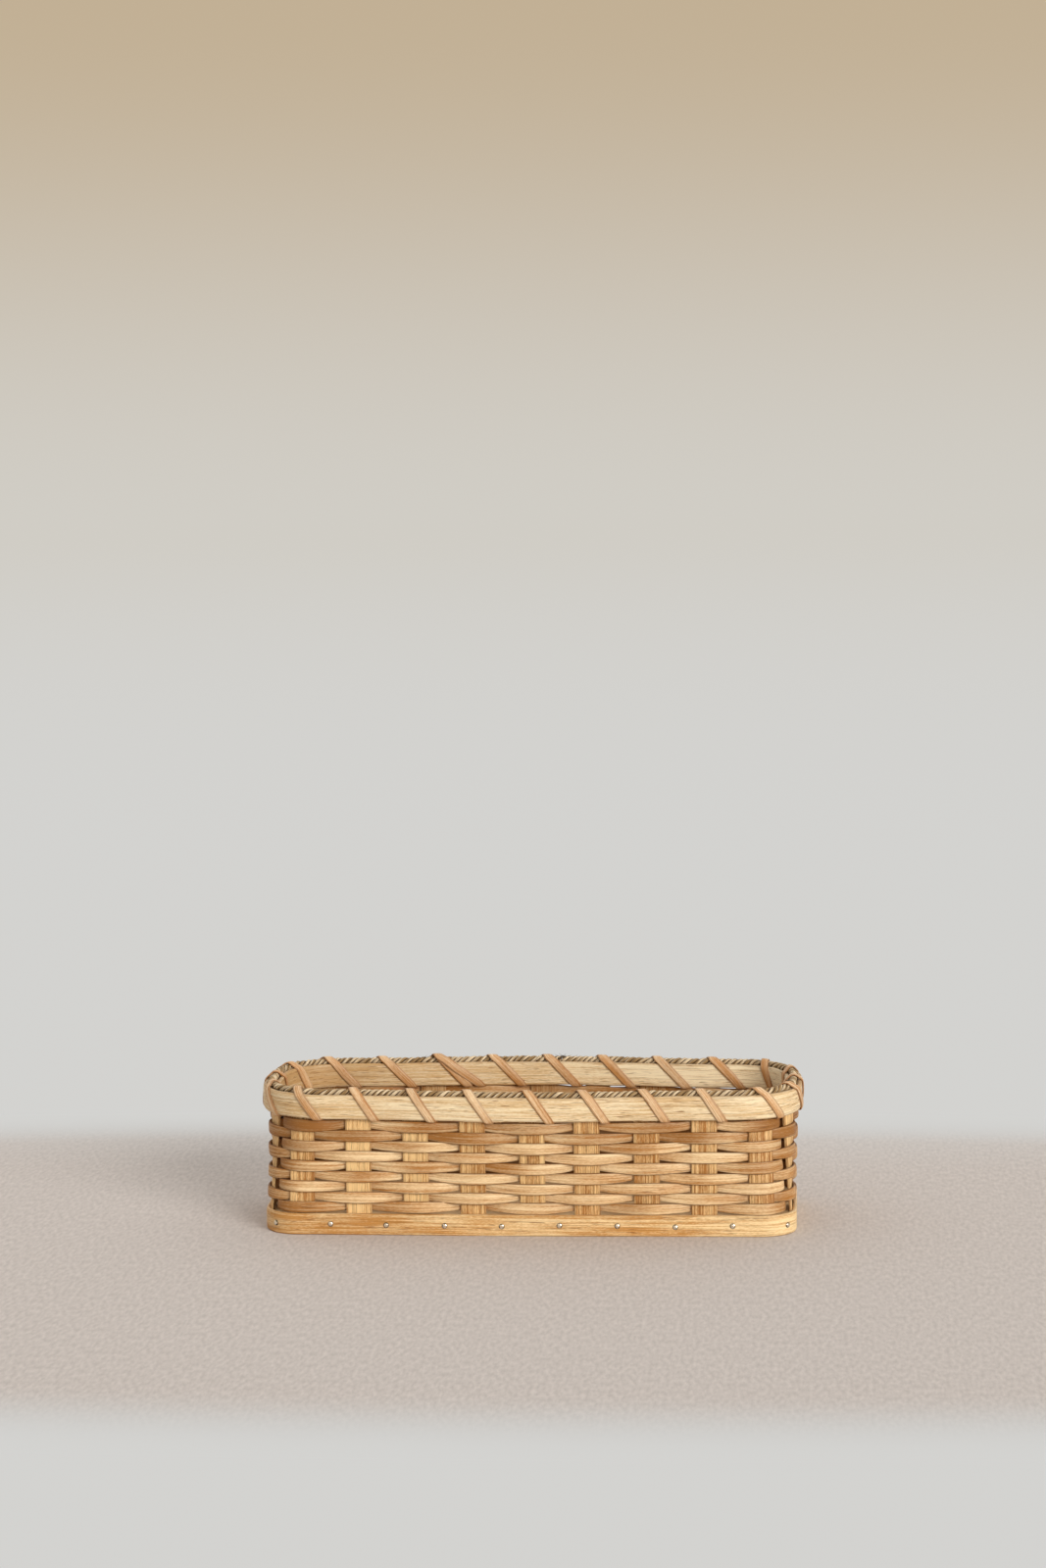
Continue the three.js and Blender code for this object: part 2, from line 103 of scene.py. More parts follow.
class Nodes:
    """Adds nodes to a shader or geometry tree, and gives the sockets that they end in."""

    def __init__(self, tree: bpy.types.NodeTree) -> None:
        """Takes the tree that it adds to."""
        self.tree = tree

    def fill(self, node: bpy.types.Node, inputs: dict[int | str, Any]) -> None:
        """Gives a node's inputs their values and links.

        Args:
            node: The node.
            inputs: For an input's name or number, the socket that is linked to it or its value.
        """
        for key, value in inputs.items():
            if isinstance(value, Socket):
                self.tree.links.new(value, node.inputs[key])
            else:
                node.inputs[key].default_value = value

    def add(self, kind: str, inputs: dict[int | str, Any] | None = None, **settings: Any) -> bpy.types.Node:
        """Adds a node.

        Args:
            kind: The node's type.
            inputs: Its inputs, as for fill.
            **settings: Its own properties.

        Returns:
            The new node.
        """
        node = self.tree.nodes.new(kind)
        for name, value in settings.items():
            setattr(node, name, value)
        self.fill(node, inputs or {})
        return node

    def calc(self, operation: str, *values: Socket | float) -> Socket:
        """The result of an operation on numbers."""
        return self.add("ShaderNodeMath", dict(enumerate(values)), operation=operation).outputs[0]

    def vector(self, operation: str, *values: Socket | tuple[float, ...]) -> Socket:
        """The result of an operation on vectors."""
        return self.add("ShaderNodeVectorMath", dict(enumerate(values)), operation=operation).outputs[0]

    def weighted(self, *terms: tuple[Socket, Socket | float]) -> Socket:
        """The sum of vectors, each times its own number."""
        scaled = [self.add("ShaderNodeVectorMath", {0: vector, "Scale": factor}, operation="SCALE").outputs[0]
                  for vector, factor in terms]
        return reduce(lambda one, two: self.vector("ADD", one, two), scaled)

    def largest(self, *values: Socket) -> Socket:
        """The largest of some numbers."""
        return reduce(lambda one, two: self.calc("MAXIMUM", one, two), values)

    def split(self, vector: Socket) -> Sequence[Socket]:
        """The three numbers of a vector."""
        return self.add("ShaderNodeSeparateXYZ", {0: vector}).outputs

    def join(self, *numbers: Socket | float) -> Socket:
        """A vector of up to three numbers, the others being 0."""
        return self.add("ShaderNodeCombineXYZ", dict(enumerate(numbers))).outputs[0]

    def noise(self, place: Socket, scale: float | tuple[float, float, float], detail: float,
              roughness: float = 0.5) -> Socket:
        """Smooth noise from 0 to 1.

        Args:
            place: Where it is wanted.
            scale: How fine it is, the same all ways or along each axis.
            detail: The number of finer layers.
            roughness: How strong each finer layer is.

        Returns:
            The noise.
        """
        if isinstance(scale, tuple):
            place, scale = self.vector("MULTIPLY", place, scale), 1.0
        return self.add("ShaderNodeTexNoise", {
            "Vector": place, "Scale": scale, "Detail": detail, "Roughness": roughness}).outputs["Fac"]

    def ramp(self, value: Socket, start: float, end: float, low: float = 0.0, high: float = 1.0,
             kind: str = "LINEAR") -> Socket:
        """Carries a value's way from a start to an end over to two other numbers, and no further.

        Args:
            value: The value.
            start: Where it gives the low number.
            end: Where it gives the high one.
            low: The low number.
            high: The high number.
            kind: The kind of change between them.

        Returns:
            The result.
        """
        inputs = dict(enumerate((value, start, end, low, high)))
        return self.add("ShaderNodeMapRange", inputs, interpolation_type=kind).outputs[0]

    def blend(self, share: Socket, first: Socket | str, second: Socket | str) -> Socket:
        """A colour that changes from a first into a second, each a socket or an sRGB colour."""
        one, two = [linear(colour) if isinstance(colour, str) else colour for colour in (first, second)]
        return self.add("ShaderNodeMix", {0: share, 6: one, 7: two}, data_type="RGBA").outputs[2]

    def bump(self, height: Socket, strength: float, relief: float) -> Socket:
        """A normal that shows a relief, whose depth is in millimetres."""
        return self.add("ShaderNodeBump", {
            "Height": height, "Strength": strength, "Distance": relief * MM}).outputs[0]

    def own(self, name: str, output: str = "Fac") -> Socket:
        """A mesh's own attribute, as a number or, with the output Vector, as a vector."""
        return self.add("ShaderNodeAttribute", attribute_name=name).outputs[output]

    def object_place(self) -> Socket:
        """Object coordinates, in metres."""
        return self.add("ShaderNodeTexCoord").outputs["Object"]

    def shows_backdrop(self) -> Socket:
        """Whether a ray shows the backdrop itself: to the camera, in metal or through glass."""
        path = self.add("ShaderNodeLightPath").outputs
        return self.largest(path["Is Camera Ray"], path["Is Glossy Ray"], path["Is Transmission Ray"])


# Finishes


@dataclass(frozen=True)
class Finish:
    """A finish, which becomes a material.

    Attributes:
        name: What the material is called.
    """

    name: str

    def surface(self, nodes: Nodes) -> dict[str, Any]:
        """Adds the nodes that make the surface.

        Args:
            nodes: What adds them to the material's tree.

        Returns:
            The inputs of its Principled shader, by name.
        """
        raise NotImplementedError

    def material(self) -> bpy.types.Material:
        """Builds the material.

        Returns:
            The new material.
        """
        material = bpy.data.materials.new(self.name)
        material.use_nodes = True
        nodes = Nodes(material.node_tree)
        nodes.fill(material.node_tree.nodes["Principled BSDF"], self.surface(nodes))
        return material


@dataclass(frozen=True)
class Reed(Finish):
    """Rattan core reed: pale wood with long straight fibres, cut by machine and left bare.

    The fibres show as fine streaks along the strip. Cut edges are rougher and a little darker, and the
    edges also carry painted shade where strips meet. Short brown dashes lie where the outer skin of the vine
    was near. A low tone darkens it further, partly the reed's own tone and partly painted shade, and the
    flat back is browner, partly as rougher reed and partly as painted shade inside the basket.

    Attributes:
        pale: The colour of the lightest fibres.
        deep: The colour of the darkest fibres.
        dash_and_shade: The colour of the dashes and pores, and the colour that the edges, the flat back and a
            low tone darken towards, partly as painted shade.
        fibre: The width of a streak in millimetres, drawn coarser than a real fibre so as to show.
        contrast: How far the streaks differ, from about 0.5 to 1.5.
        dashes: The share of the surface where dashes gather.
        pores: How dark the fine lines between the fibres are, up to 1.
        edge: How much darker the strip's edges are, up to 1, partly as cut edges and partly as painted shade
            where strips meet.
        shoulder: Where the darker edges begin, as a share of the way from the strip's middle.
        rough_back_and_shade: How much browner its flat back is, up to 1, partly its rougher reed and partly
            painted shade inside the basket.
        roughness: The surface's middle roughness.
        relief: The height of the fibres in millimetres.
    """

    pale: str
    deep: str
    dash_and_shade: str
    fibre: float
    contrast: float
    dashes: float
    pores: float = 0.6
    edge: float = 0.4
    shoulder: float = 0.8
    rough_back_and_shade: float = 0.2
    roughness: float = 0.5
    relief: float = 0.14

    def surface(self, nodes: Nodes) -> dict[str, Any]:
        """Adds the nodes that make the surface, which reads a strip's own grain, tone and edge.

        Args:
            nodes: What adds them to the material's tree.

        Returns:
            The inputs of its Principled shader, by name.
        """
        grain, tone, edge = nodes.own("grain", "Vector"), nodes.own("tone"), nodes.own("edge")

        def streaks(length: float, width: float, detail: float) -> Socket:
            """Noise drawn out along the strip, with streaks of a length and width in millimetres."""
            return nodes.noise(grain, (1 / length, 1 / width, 1 / width), detail, roughness=0.6)

        fibres = streaks(60 * self.fibre, 0.8 * self.fibre, 3)
        mixed = streaks(90, 2.4 * self.fibre, 2)
        patches, specks = streaks(34, 11, 2), streaks(2.2, 0.45, 1)
        for layer, weight in ((fibres, 1.3), (patches, 0.5), (specks, 0.6), (tone, -0.17)):
            mixed = nodes.calc("MULTIPLY_ADD", layer, weight, mixed)
        middle, spread = 1.7, 0.3 / self.contrast
        colour = nodes.blend(nodes.ramp(mixed, middle - spread, middle + spread), self.pale, self.deep)
        pores = nodes.ramp(streaks(24, 0.62 * self.fibre, 2), 0.55, 0.72, high=self.pores)
        gathered = nodes.ramp(streaks(60, 3.5, 1), 0.66 - self.dashes, 0.76 - self.dashes)
        dashes = nodes.calc("MULTIPLY", nodes.ramp(streaks(9, 0.5, 1), 0.6, 0.7, high=0.85), gathered)
        # Darker edges: partly rough cut edges, partly painted shade where strips meet
        cut_edges_and_shade = nodes.ramp(edge, self.shoulder, 1.0, high=self.edge)
        # Darker where the tone is low: partly the reed's own tone, partly painted shade behind the corner
        # stakes and round the ends
        dark_tone_and_shade = nodes.ramp(tone, 0.3, -4.2, high=0.97)
        # Browner flat back: partly rougher reed, partly painted shade inside the basket
        rough_back_and_shade_mask = nodes.ramp(nodes.split(grain)[2], -0.1, -0.5, high=self.rough_back_and_shade)
        for share in (pores, dashes, nodes.largest(cut_edges_and_shade, dark_tone_and_shade, rough_back_and_shade_mask)):
            colour = nodes.blend(share, colour, self.dash_and_shade)
        rough = nodes.ramp(fibres, 0.3, 0.7, self.roughness - 0.08, self.roughness + 0.08)
        return {"Base Color": colour, "Roughness": rough, "Normal": nodes.bump(fibres, 0.7, self.relief),
                "IOR": 1.5, "Specular IOR Level": 0.35}


@dataclass(frozen=True)
class SeaGrass(Finish):
    """Twisted sea grass: dry flat blades, straw to olive grey, dull, with brown painted shade in the creases.

    Attributes:
        straw: The colour of the dry blades.
        olive: The colour of the greener blades.
        crease: The colour of the painted shade deep between the strands.
        blade: The width of a blade in millimetres.
    """

    straw: str
    olive: str
    crease: str
    blade: float = 0.8

    def surface(self, nodes: Nodes) -> dict[str, Any]:
        """Adds the nodes that make the surface, which reads the cord's own grain and edge.

        Args:
            nodes: What adds them to the material's tree.

        Returns:
            The inputs of its Principled shader, by name.
        """
        grain, edge = nodes.own("grain", "Vector"), nodes.own("edge")
        fine = nodes.noise(grain, (1 / 14, 1 / self.blade, 1.0), 3.0, roughness=0.65)
        broad = nodes.noise(grain, (1 / 26, 1 / 4, 1.0), 1.0)
        colour = nodes.blend(nodes.ramp(broad, 0.4, 0.58), self.straw, self.olive)
        streak = nodes.ramp(fine, 0.5, 0.68, high=0.75)
        # Painted shade deep in the creases between the strands
        deep = nodes.ramp(edge, 0.36, 0.56, high=0.95)
        colour = nodes.blend(nodes.largest(streak, deep), colour, self.crease)
        return {"Base Color": colour, "Normal": nodes.bump(fine, 0.9, 0.25), "Roughness": 0.7,
                "Specular IOR Level": 0.3}


@dataclass(frozen=True)
class PlatedSteel(Finish):
    """Nail heads of plated steel: bright on the dome, with a dark ring of painted shade and dark reflection
    round the foot.

    Attributes:
        bright: The colour of the dome.
        ring_shade: The colour of the painted shade and dark reflection round its foot.
        roughness: The dome's roughness.
    """

    bright: str
    ring_shade: str
    roughness: float

    def surface(self, nodes: Nodes) -> dict[str, Any]:
        """Adds the nodes that make the surface, which reads the nail's own edge.

        Args:
            nodes: What adds them to the material's tree.

        Returns:
            The inputs of its Principled shader, by name.
        """
        scuff = 1.2 * MM
        scuffs = nodes.noise(nodes.object_place(), 1 / scuff, 3.0)
        # Painted shade and dark reflection round the head's foot, spread unevenly by the scuffs
        scuffs_and_ring_shade = nodes.calc("MULTIPLY_ADD", scuffs, 0.9, nodes.own("edge"))
        colour = nodes.blend(nodes.ramp(scuffs_and_ring_shade, 1.05, 1.4), self.bright, self.ring_shade)
        rough = nodes.ramp(scuffs, 0.0, 1.0, self.roughness - 0.06, self.roughness + 0.12)
        return {"Base Color": colour, "Roughness": rough, "Metallic": 1.0}


@dataclass(frozen=True)
class PlanedBoard(Finish):
    """A planed softwood board: long growth rings along its length, matt and unvarnished.

    Attributes:
        early: The colour of the wide pale wood between the rings.
        late: The colour of the narrow dark rings.
        ring: The distance between rings in millimetres, as the flat face shows them.
        figure: How many rings long a ring's own waves are.
    """

    early: str
    late: str
    ring: float
    figure: float

    def surface(self, nodes: Nodes) -> dict[str, Any]:
        """Adds the nodes that make the surface, which reads Object coordinates.

        The rings are the level lines of a slow change across the board and along it. Each darkens bit
        by bit towards its late wood and ends there, which gives the eye the arches of a plain-sawn board.

        Args:
            nodes: What adds them to the material's tree.

        Returns:
            The inputs of its Principled shader, by name.
        """
        place = nodes.object_place()
        across = 1 / (self.ring * MM * self.figure)
        level = nodes.noise(place, (0.07 * across, across, across), 1.0)
        rings = nodes.calc("FRACT", nodes.calc("MULTIPLY", level, 2 * self.figure))
        pores = nodes.noise(place, (18.0, 900.0, 900.0), 3.0)
        depth = nodes.calc("MULTIPLY_ADD", pores, 0.5, nodes.calc("POWER", rings, 3.0))
        colour = nodes.blend(nodes.ramp(depth, 0.15, 1.6), self.early, self.late)
        return {"Base Color": colour, "Normal": nodes.bump(pores, 0.4, 0.1), "Roughness": 0.62}


@dataclass(frozen=True)
class FloorPaint(Finish):
    """A pale matt floor that shades off into a paler backdrop, which is warmer high up.

    Attributes:
        table: The colour round the object.
        thread: The colour of its cloth's darker threads.
        low: The backdrop's colour near the floor.
        high: The backdrop's colour above the object.
        warm: The backdrop's colour at the top.
    """

    table: str
    thread: str
    low: str
    high: str
    warm: str

    def surface(self, nodes: Nodes) -> dict[str, Any]:
        """Adds the nodes that make the surface, which reads Object coordinates.

        What the camera sees of the backdrop is its colour as written, and the floor round the object
        is an ordinary matt surface, so that it takes shadows.

        Args:
            nodes: What adds them to the material's tree.

        Returns:
            The inputs of its Principled shader, by name.
        """
        place = nodes.object_place()
        drawn = nodes.vector("MULTIPLY_ADD", place, (0.3, 1.0, 1.0), (0.0, 0.1, 0.0))
        distance = nodes.add("ShaderNodeVectorMath", {0: drawn}, operation="LENGTH").outputs["Value"]
        _, back, height = nodes.split(place)

        def share(value: Socket, start: float, end: float) -> Socket:
            """How far a value is on its way from one number to another, smoothly."""
            return nodes.ramp(value, start, end, kind="SMOOTHSTEP")

        backdrop = nodes.blend(share(distance, 1.5, 9.0), self.low, self.high)
        backdrop = nodes.blend(share(height, -0.3, 2.1), backdrop, self.warm)
        away = nodes.largest(share(distance, 0.3, 0.42), share(back, 0.1, 0.6))
        slubs = nodes.ramp(nodes.noise(place, (420.0, 130.0, 130.0), 3.0), 0.3, 0.7, high=0.34)
        table = nodes.blend(slubs, self.table, self.thread)
        seen = nodes.calc("MULTIPLY", nodes.shows_backdrop(), away)
        plain = nodes.add("ShaderNodeEmission", {"Color": backdrop, "Strength": 1.0}).outputs[0]
        matt = nodes.tree.nodes["Principled BSDF"].outputs[0]
        mixed = nodes.add("ShaderNodeMixShader", {0: seen, 1: matt, 2: plain}).outputs[0]
        nodes.fill(nodes.tree.nodes["Material Output"], {"Surface": mixed})
        return {"Base Color": nodes.blend(away, table, self.low), "Roughness": 0.9, "Specular IOR Level": 0.1}


# The bands' pale reed shows long brown dashes
RIM_REED = Reed("pale_flat_oval_reed", "#f7e2ba", "#d8b078", "#85541f", fibre=0.7, contrast=1.15,
                dashes=0.3, roughness=0.55)
# The rows' honey coloured reed has dark edges, partly cut and partly painted shade between rows, and a brown
# back, partly rough reed and partly painted shade inside the basket; the top row's back is only a little
# browner
WEAVER_REED = Reed("honey_flat_oval_reed", "#f3d3a2", "#ba7c38", "#633708", fibre=0.65, contrast=0.95,
                   dashes=0.07, pores=0.38, edge=0.95, shoulder=0.78, rough_back_and_shade=0.85, relief=0.12)
TOP_ROW_REED = replace(WEAVER_REED, name="clean_flat_oval_reed", rough_back_and_shade=0.15)
# The stakes' golden reed is striped by its ribs, and its back is browner, partly as painted shade inside the
# basket
STAKE_REED = Reed("ribbed_flat_reed", "#f5cb8c", "#b27534", "#6a3d12", fibre=0.8, contrast=1.35,
                  dashes=0.04, pores=0.65, rough_back_and_shade=0.45, roughness=0.6, relief=0.18)
# The base band is the most golden, with strong streaks
BASE_REED = Reed("golden_flat_oval_reed", "#f9daa4", "#cb9049", "#854e1a", fibre=0.75, contrast=1.5,
                 dashes=0.2, edge=0.35)
# The lashing is pinker and even, and brown along both edges, partly cut edges and partly painted shade
LASH_REED = Reed("thin_lashing_reed", "#f4d8ae", "#c98e52", "#8a5320", fibre=0.85, contrast=1.0,
                 dashes=0.05, edge=0.75, shoulder=0.5, roughness=0.45)
# The cord is straw with greener blades in it and painted shade in its creases, and its loose blades are as
# dark as that shade
CORD = SeaGrass("twisted_sea_grass", "#e6cda6", "#9c7c50", "#472b13")
OLD_BLADES = SeaGrass("weathered_sea_grass", "#806642", "#5f482a", "#33210f")
# The nails are small bright dots, each with a dark ring of painted shade and reflection
NAIL_STEEL = PlatedSteel("plated_nail_steel", "#f6eedc", "#4a3822", roughness=0.2)
# The board is even and warm, with arches along it
BOARD_WOOD = PlanedBoard("planed_pine_board", "#dcb886", "#b98850", ring=6.0, figure=5.0)
# The floor is greyer than the backdrop, so the basket stands out
FLOOR = FloorPaint("pale_floor", "#d6ccc4", "#958a82", "#d4d4d2", "#d1cec7", "#c2b095")


# The basket's shape


@dataclass(frozen=True)
class Outline:
    """One level of the wall in plan: a rounded rectangle whose long sides bow outwards.

    Attributes:
        half_length: From the middle to an end.
        half_width: From the middle to a long side where it meets the corner.
        radius: The corner's radius.
        bow: How far a long side's middle stands out beyond its ends.
    """

    half_length: float
    half_width: float
    radius: float
    bow: float

    @property
    def side(self) -> float:
        """The length of half a long side."""
        return self.half_length - self.radius

    @property
    def corner(self) -> float:
        """The length of a corner's arc."""
        return math.pi / 2 * self.radius

    @property
    def quarter(self) -> float:
        """A quarter of the way round."""
        return self.side + self.corner + self.half_width - self.radius

    def inset(self, amount: float) -> "Outline":
        """The same outline moved inwards by an amount."""
        return Outline(self.half_length - amount, self.half_width - amount, self.radius - amount, self.bow)

    def quarter_point(self, s: float) -> tuple[float, float, float, float]:
        """A point of the front right quarter.

        Args:
            s: The distance round from the middle of the front.

        Returns:
            The point's x and y and its outward normal's x and y.
        """
        if s < self.side:
            phase = math.pi * s / (2 * self.side)
            slope = self.bow * math.pi / (2 * self.side) * math.sin(2 * phase)
            size = math.hypot(slope, 1)
            return s, -self.half_width - self.bow * math.cos(phase) ** 2, slope / size, -1 / size
        centre = self.radius - self.half_width
        if s < self.side + self.corner:
            angle = (s - self.side) / self.radius
            nx, ny = math.sin(angle), -math.cos(angle)
            return self.side + self.radius * nx, centre + self.radius * ny, nx, ny
        return self.half_length, centre + s - self.side - self.corner, 1.0, 0.0

    def point(self, distance: float) -> tuple[Array, Array]:
        """A point of the outline and its outward normal.

        Args:
            distance: The distance round from the middle of the front.

        Returns:
            The point and the normal, each as x and y.
        """
        s = distance % (4 * self.quarter)
        index = int(s // self.quarter)
        along = (index + 1) * self.quarter - s if index % 2 else s - index * self.quarter
        x, y, nx, ny = self.quarter_point(along)
        mirror = np.array([-1.0 if index > 1 else 1.0, -1.0 if index in (1, 2) else 1.0])
        return mirror * (x, y), mirror * (nx, ny)


@dataclass(frozen=True)
class Wall:
    """The middle surface of the stakes, between the base band and the rim.

    Attributes:
        foot: The outline inside the base band.
        rim: The outline inside the rim.
        foot_top: The height up to which the wall stands upright.
        rim_bottom: The height from which it stands upright again.
        drift: How far each of the front's stakes stands off its even place, from the left.
        side_stakes: The stakes on each long side.
        end_stakes: The stakes round each end.
        stake_width: A stake's width.
        pitch: The distance between two stakes of a long side.
        shift: How far the front's middle stake lies to the right of the middle.
        seam: The small gap between a strip's two ends, in stations.
    """

    foot: Outline
    rim: Outline
    foot_top: float
    rim_bottom: float
    drift: tuple[float, ...] = (-1.6, -1.4, -1.1, -1.0, 0.5, -1.2, 0.1, 0.1, 0.0)
    side_stakes: int = 9
    end_stakes: int = 3
    stake_width: float = 15.9
    pitch: float = 35.3
    shift: float = 2.5
    seam: float = 0.016

    @property
    def back(self) -> int:
        """The number of the back's first stake, on the right."""
        return self.side_stakes + self.end_stakes

    @property
    def left(self) -> int:
        """The number of the left end's first stake."""
        return self.back + self.side_stakes

    @property
    def stakes(self) -> int:
        """The number of stakes all round."""
        return 2 * self.back

    @property
    def corner_stakes(self) -> tuple[int, ...]:
        """The numbers of the four stakes that stand at a corner."""
        return self.side_stakes, self.back - 1, self.left, self.stakes - 1

    def stake_distance(self, outline: Outline, number: int) -> float:
        """How far round an outline a stake stands.

        Args:
            outline: The foot or the rim.
            number: The stake's number. Numbers past the last count on round the wall.

        Returns:
            The distance from the middle of the front.
        """
        turn, k = divmod(number, self.stakes)
        quarter = outline.quarter
        first = self.shift - (self.side_stakes - 1) / 2 * self.pitch
        last = first + (self.side_stakes - 1) * self.pitch
        back_first, back_last = 2 * quarter - last, 2 * quarter - first
        gaps = self.end_stakes + 1
        if k < self.side_stakes:
            distance = first + k * self.pitch + self.drift[k]
        elif k < self.back:
            distance = last + (back_first - last) * (k - self.side_stakes + 1) / gaps
        elif k < self.left:
            distance = back_first + (k - self.back) * self.pitch
        else:
            distance = back_last + (4 * quarter + first - back_last) * (k - self.left + 1) / gaps
        return distance + turn * 4 * quarter

    def distance(self, outline: Outline, station: float) -> float:
        """How far round an outline a station lies, a stake's edges being a quarter from its middle.

        Args:
            outline: The foot or the rim.
            station: The place along the wall.

        Returns:
            The distance from the middle of the front.
        """
        number = math.floor(station + 0.5)
        share = station - number
        side = math.copysign(1, share)
        middle = self.stake_distance(outline, number)
        edge = middle + side * self.stake_width / 2
        if abs(share) <= 0.25:
            return middle + (edge - middle) * abs(share) / 0.25
        next_edge = self.stake_distance(outline, number + int(side)) - side * self.stake_width / 2
        return edge + (next_edge - edge) * (abs(share) - 0.25) / 0.5

    def station(self, distance: float) -> float:
        """The other way about: the station of a distance round the rim.

        Args:
            distance: The distance from the middle of the front, not below 0.

        Returns:
            The station.
        """
        half = self.stake_width / 2
        number = 0
        while self.stake_distance(self.rim, number + 1) - half <= distance:
            number += 1
        start = self.stake_distance(self.rim, number)
        past = distance - start
        if past <= half:
            return number + 0.25 * past / half
        gap = self.stake_distance(self.rim, number + 1) - start - 2 * half
        return number + 0.25 + 0.5 * (past - half) / gap

    def share(self, station: float) -> float:
        """How far between two stakes' middles a station lies, by distance round the rim, up to 1."""
        start, end = [self.stake_distance(self.rim, math.floor(station) + k) for k in (0, 1)]
        return (self.distance(self.rim, station) - start) / (end - start)

    def point(self, station: float, height: float, offset: float) -> Array:
        """A point on or beside the wall.

        Args:
            station: The place along the wall.
            height: The height above the table.
            offset: The distance outwards from the stakes' middle surface.

        Returns:
            The point's x, y and z.
        """
        rise = min(max((height - self.foot_top) / (self.rim_bottom - self.foot_top), 0), 1)
        low, low_normal = self.foot.point(self.distance(self.foot, station))
        high, high_normal = self.rim.point(self.distance(self.rim, station))
        plan = (low + offset * low_normal) * (1 - rise) + (high + offset * high_normal) * rise
        return np.array([plan[0], plan[1], height])

    def points(self, stations: Array | float, heights: Array | float, offsets: Array | float) -> Array:
        """Points on or beside the wall, one in each row, where any one number holds for all of them."""
        return np.array([self.point(*place) for place in np.broadcast(stations, heights, offsets)])

    def outward(self, stations: Array | float, heights: Array | float) -> Array:
        """The level directions out of the wall at stations and heights, one in each row."""
        return unit(self.points(stations, heights, 1) - self.points(stations, heights, 0))

    def once_round(self, joint: float, per_stake: int) -> tuple[Array, Array]:
        """Stations once round the wall from a joint to just short of it, and how far round each lies."""
        stations = np.linspace(joint, joint + self.stakes - self.seam, per_stake * self.stakes)
        return stations, (stations - joint) / self.stakes


@dataclass(frozen=True)
class Layer:
    """How far out a band lies on the wall.

    Attributes:
        back: From the stakes' middle surface to the band's flat back.
        thickness: The band's thickness.
    """

    back: float
    thickness: float

    @property
    def middle(self) -> float:
        """The offset of its middle."""
        return self.back + self.thickness / 2

    @property
    def face(self) -> float:
        """The offset of its better face."""
        return self.back + self.thickness


BASE_LAYER = Layer(back=1.1, thickness=2.6)
RIM_LAYER = Layer(back=2.5, thickness=3.0)


def box_mm(node: str) -> tuple[Vector, Vector]:
    """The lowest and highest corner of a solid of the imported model, in millimetres."""
    low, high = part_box(node)
    return low / MM, high / MM


def measured_wall() -> Wall:
    """The wall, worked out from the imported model's bands and the thickness of what lies outside it.

    Returns:
        The wall's middle surface.
    """
    band_high = box_mm("base_band")[1]
    rim_low, rim_high = box_mm("rim_band_outer")
    foot = Outline(band_high.x, half_width=55.0, radius=22.0, bow=1.5).inset(BASE_LAYER.face)
    rim = Outline(rim_high.x, half_width=56.0, radius=44.0, bow=8.0).inset(RIM_LAYER.face)
    return Wall(foot, rim, foot_top=band_high.z, rim_bottom=rim_low.z)


# Strips and cords


@dataclass
class Course:
    """The middle line of a strip or cord, and what its sections need at each point or all along.

    Attributes:
        points: The middle line, one point in each row.
        facing: The direction that the strip's better face looks in, one in each row.
        half_width: Half the width.
        half_thickness: Half the thickness.
        cupping: How strongly the section bends away from its face, as 1 / (2 * radius).
        tone: How much lighter (1) or darker (-1) the strip is.
    """

    points: Array
    facing: Array
    half_width: Array | float
    half_thickness: Array | float
    cupping: Array | float = 0.0
    tone: Array | float = 0.0

    def attributes(self, grain_start: float) -> dict[str, Array]:
        """Works out what the trees read at each point of the line.

        Args:
            grain_start: Where in the grain the strip was cut, in millimetres.

        Returns:
            The rows of each vector attribute and the column of each plain one, by name, in metres
            except for run, which is the distance along the grain in millimetres.
        """
        count = len(self.points)
        tangent = unit(np.gradient(self.points, axis=0))
        side = unit(np.cross(self.facing, tangent))
        steps = np.linalg.norm(np.diff(self.points, axis=0), axis=1)
        sizes = (self.half_width, self.half_thickness, self.cupping)
        return {
            "middle": self.points * MM,
            "facing": np.cross(tangent, side),
            "side": side,
            "section": np.stack([np.broadcast_to(size, count) for size in sizes], axis=1) * (MM, MM, 1 / MM),
            "run": np.concatenate([[0], np.cumsum(steps)]) + grain_start,
            "tone": np.broadcast_to(self.tone, count),
        }


PATH_ATTRIBUTES = ("middle", "facing", "side", "section", "run", "ring", "ply")


def keep_values(mesh: bpy.types.Mesh, name: str, values: Array) -> None:
    """Stores a named attribute.

    Args:
        mesh: The mesh that gets it.
        name: The attribute's name.
        values: A number or a row for each point.
    """
    kind, entry = ("FLOAT", "value") if values.ndim == 1 else ("FLOAT_VECTOR", "vector")
    flat = np.ascontiguousarray(values, dtype=np.float32).ravel()
    mesh.attributes.new(name, kind, "POINT").data.foreach_set(entry, flat)


def path_mesh(name: str, courses: Sequence[Course], grain_start: float) -> bpy.types.Mesh:
    """Makes the middle lines of strips as chains of edges that carry their sections' attributes.

    Args:
        name: The mesh's name.
        courses: The strips' lines.
        grain_start: Where in the grain the first strip was cut, in millimetres.

    Returns:
        The new mesh, in metres.
    """
    parts = [course.attributes(grain_start + 50 * k) for k, course in enumerate(courses)]
    merged = {key: np.concatenate([part[key] for part in parts]) for key in parts[0]}
    edges, start = [], 0
    for course in courses:
        end = start + len(course.points)
        edges += [(k, k + 1) for k in range(start, end - 1)]
        start = end
    mesh = bpy.data.meshes.new(name)
    mesh.from_pydata(merged["middle"].tolist(), edges, [])
    for key, values in merged.items():
        keep_values(mesh, key, values)
    return mesh


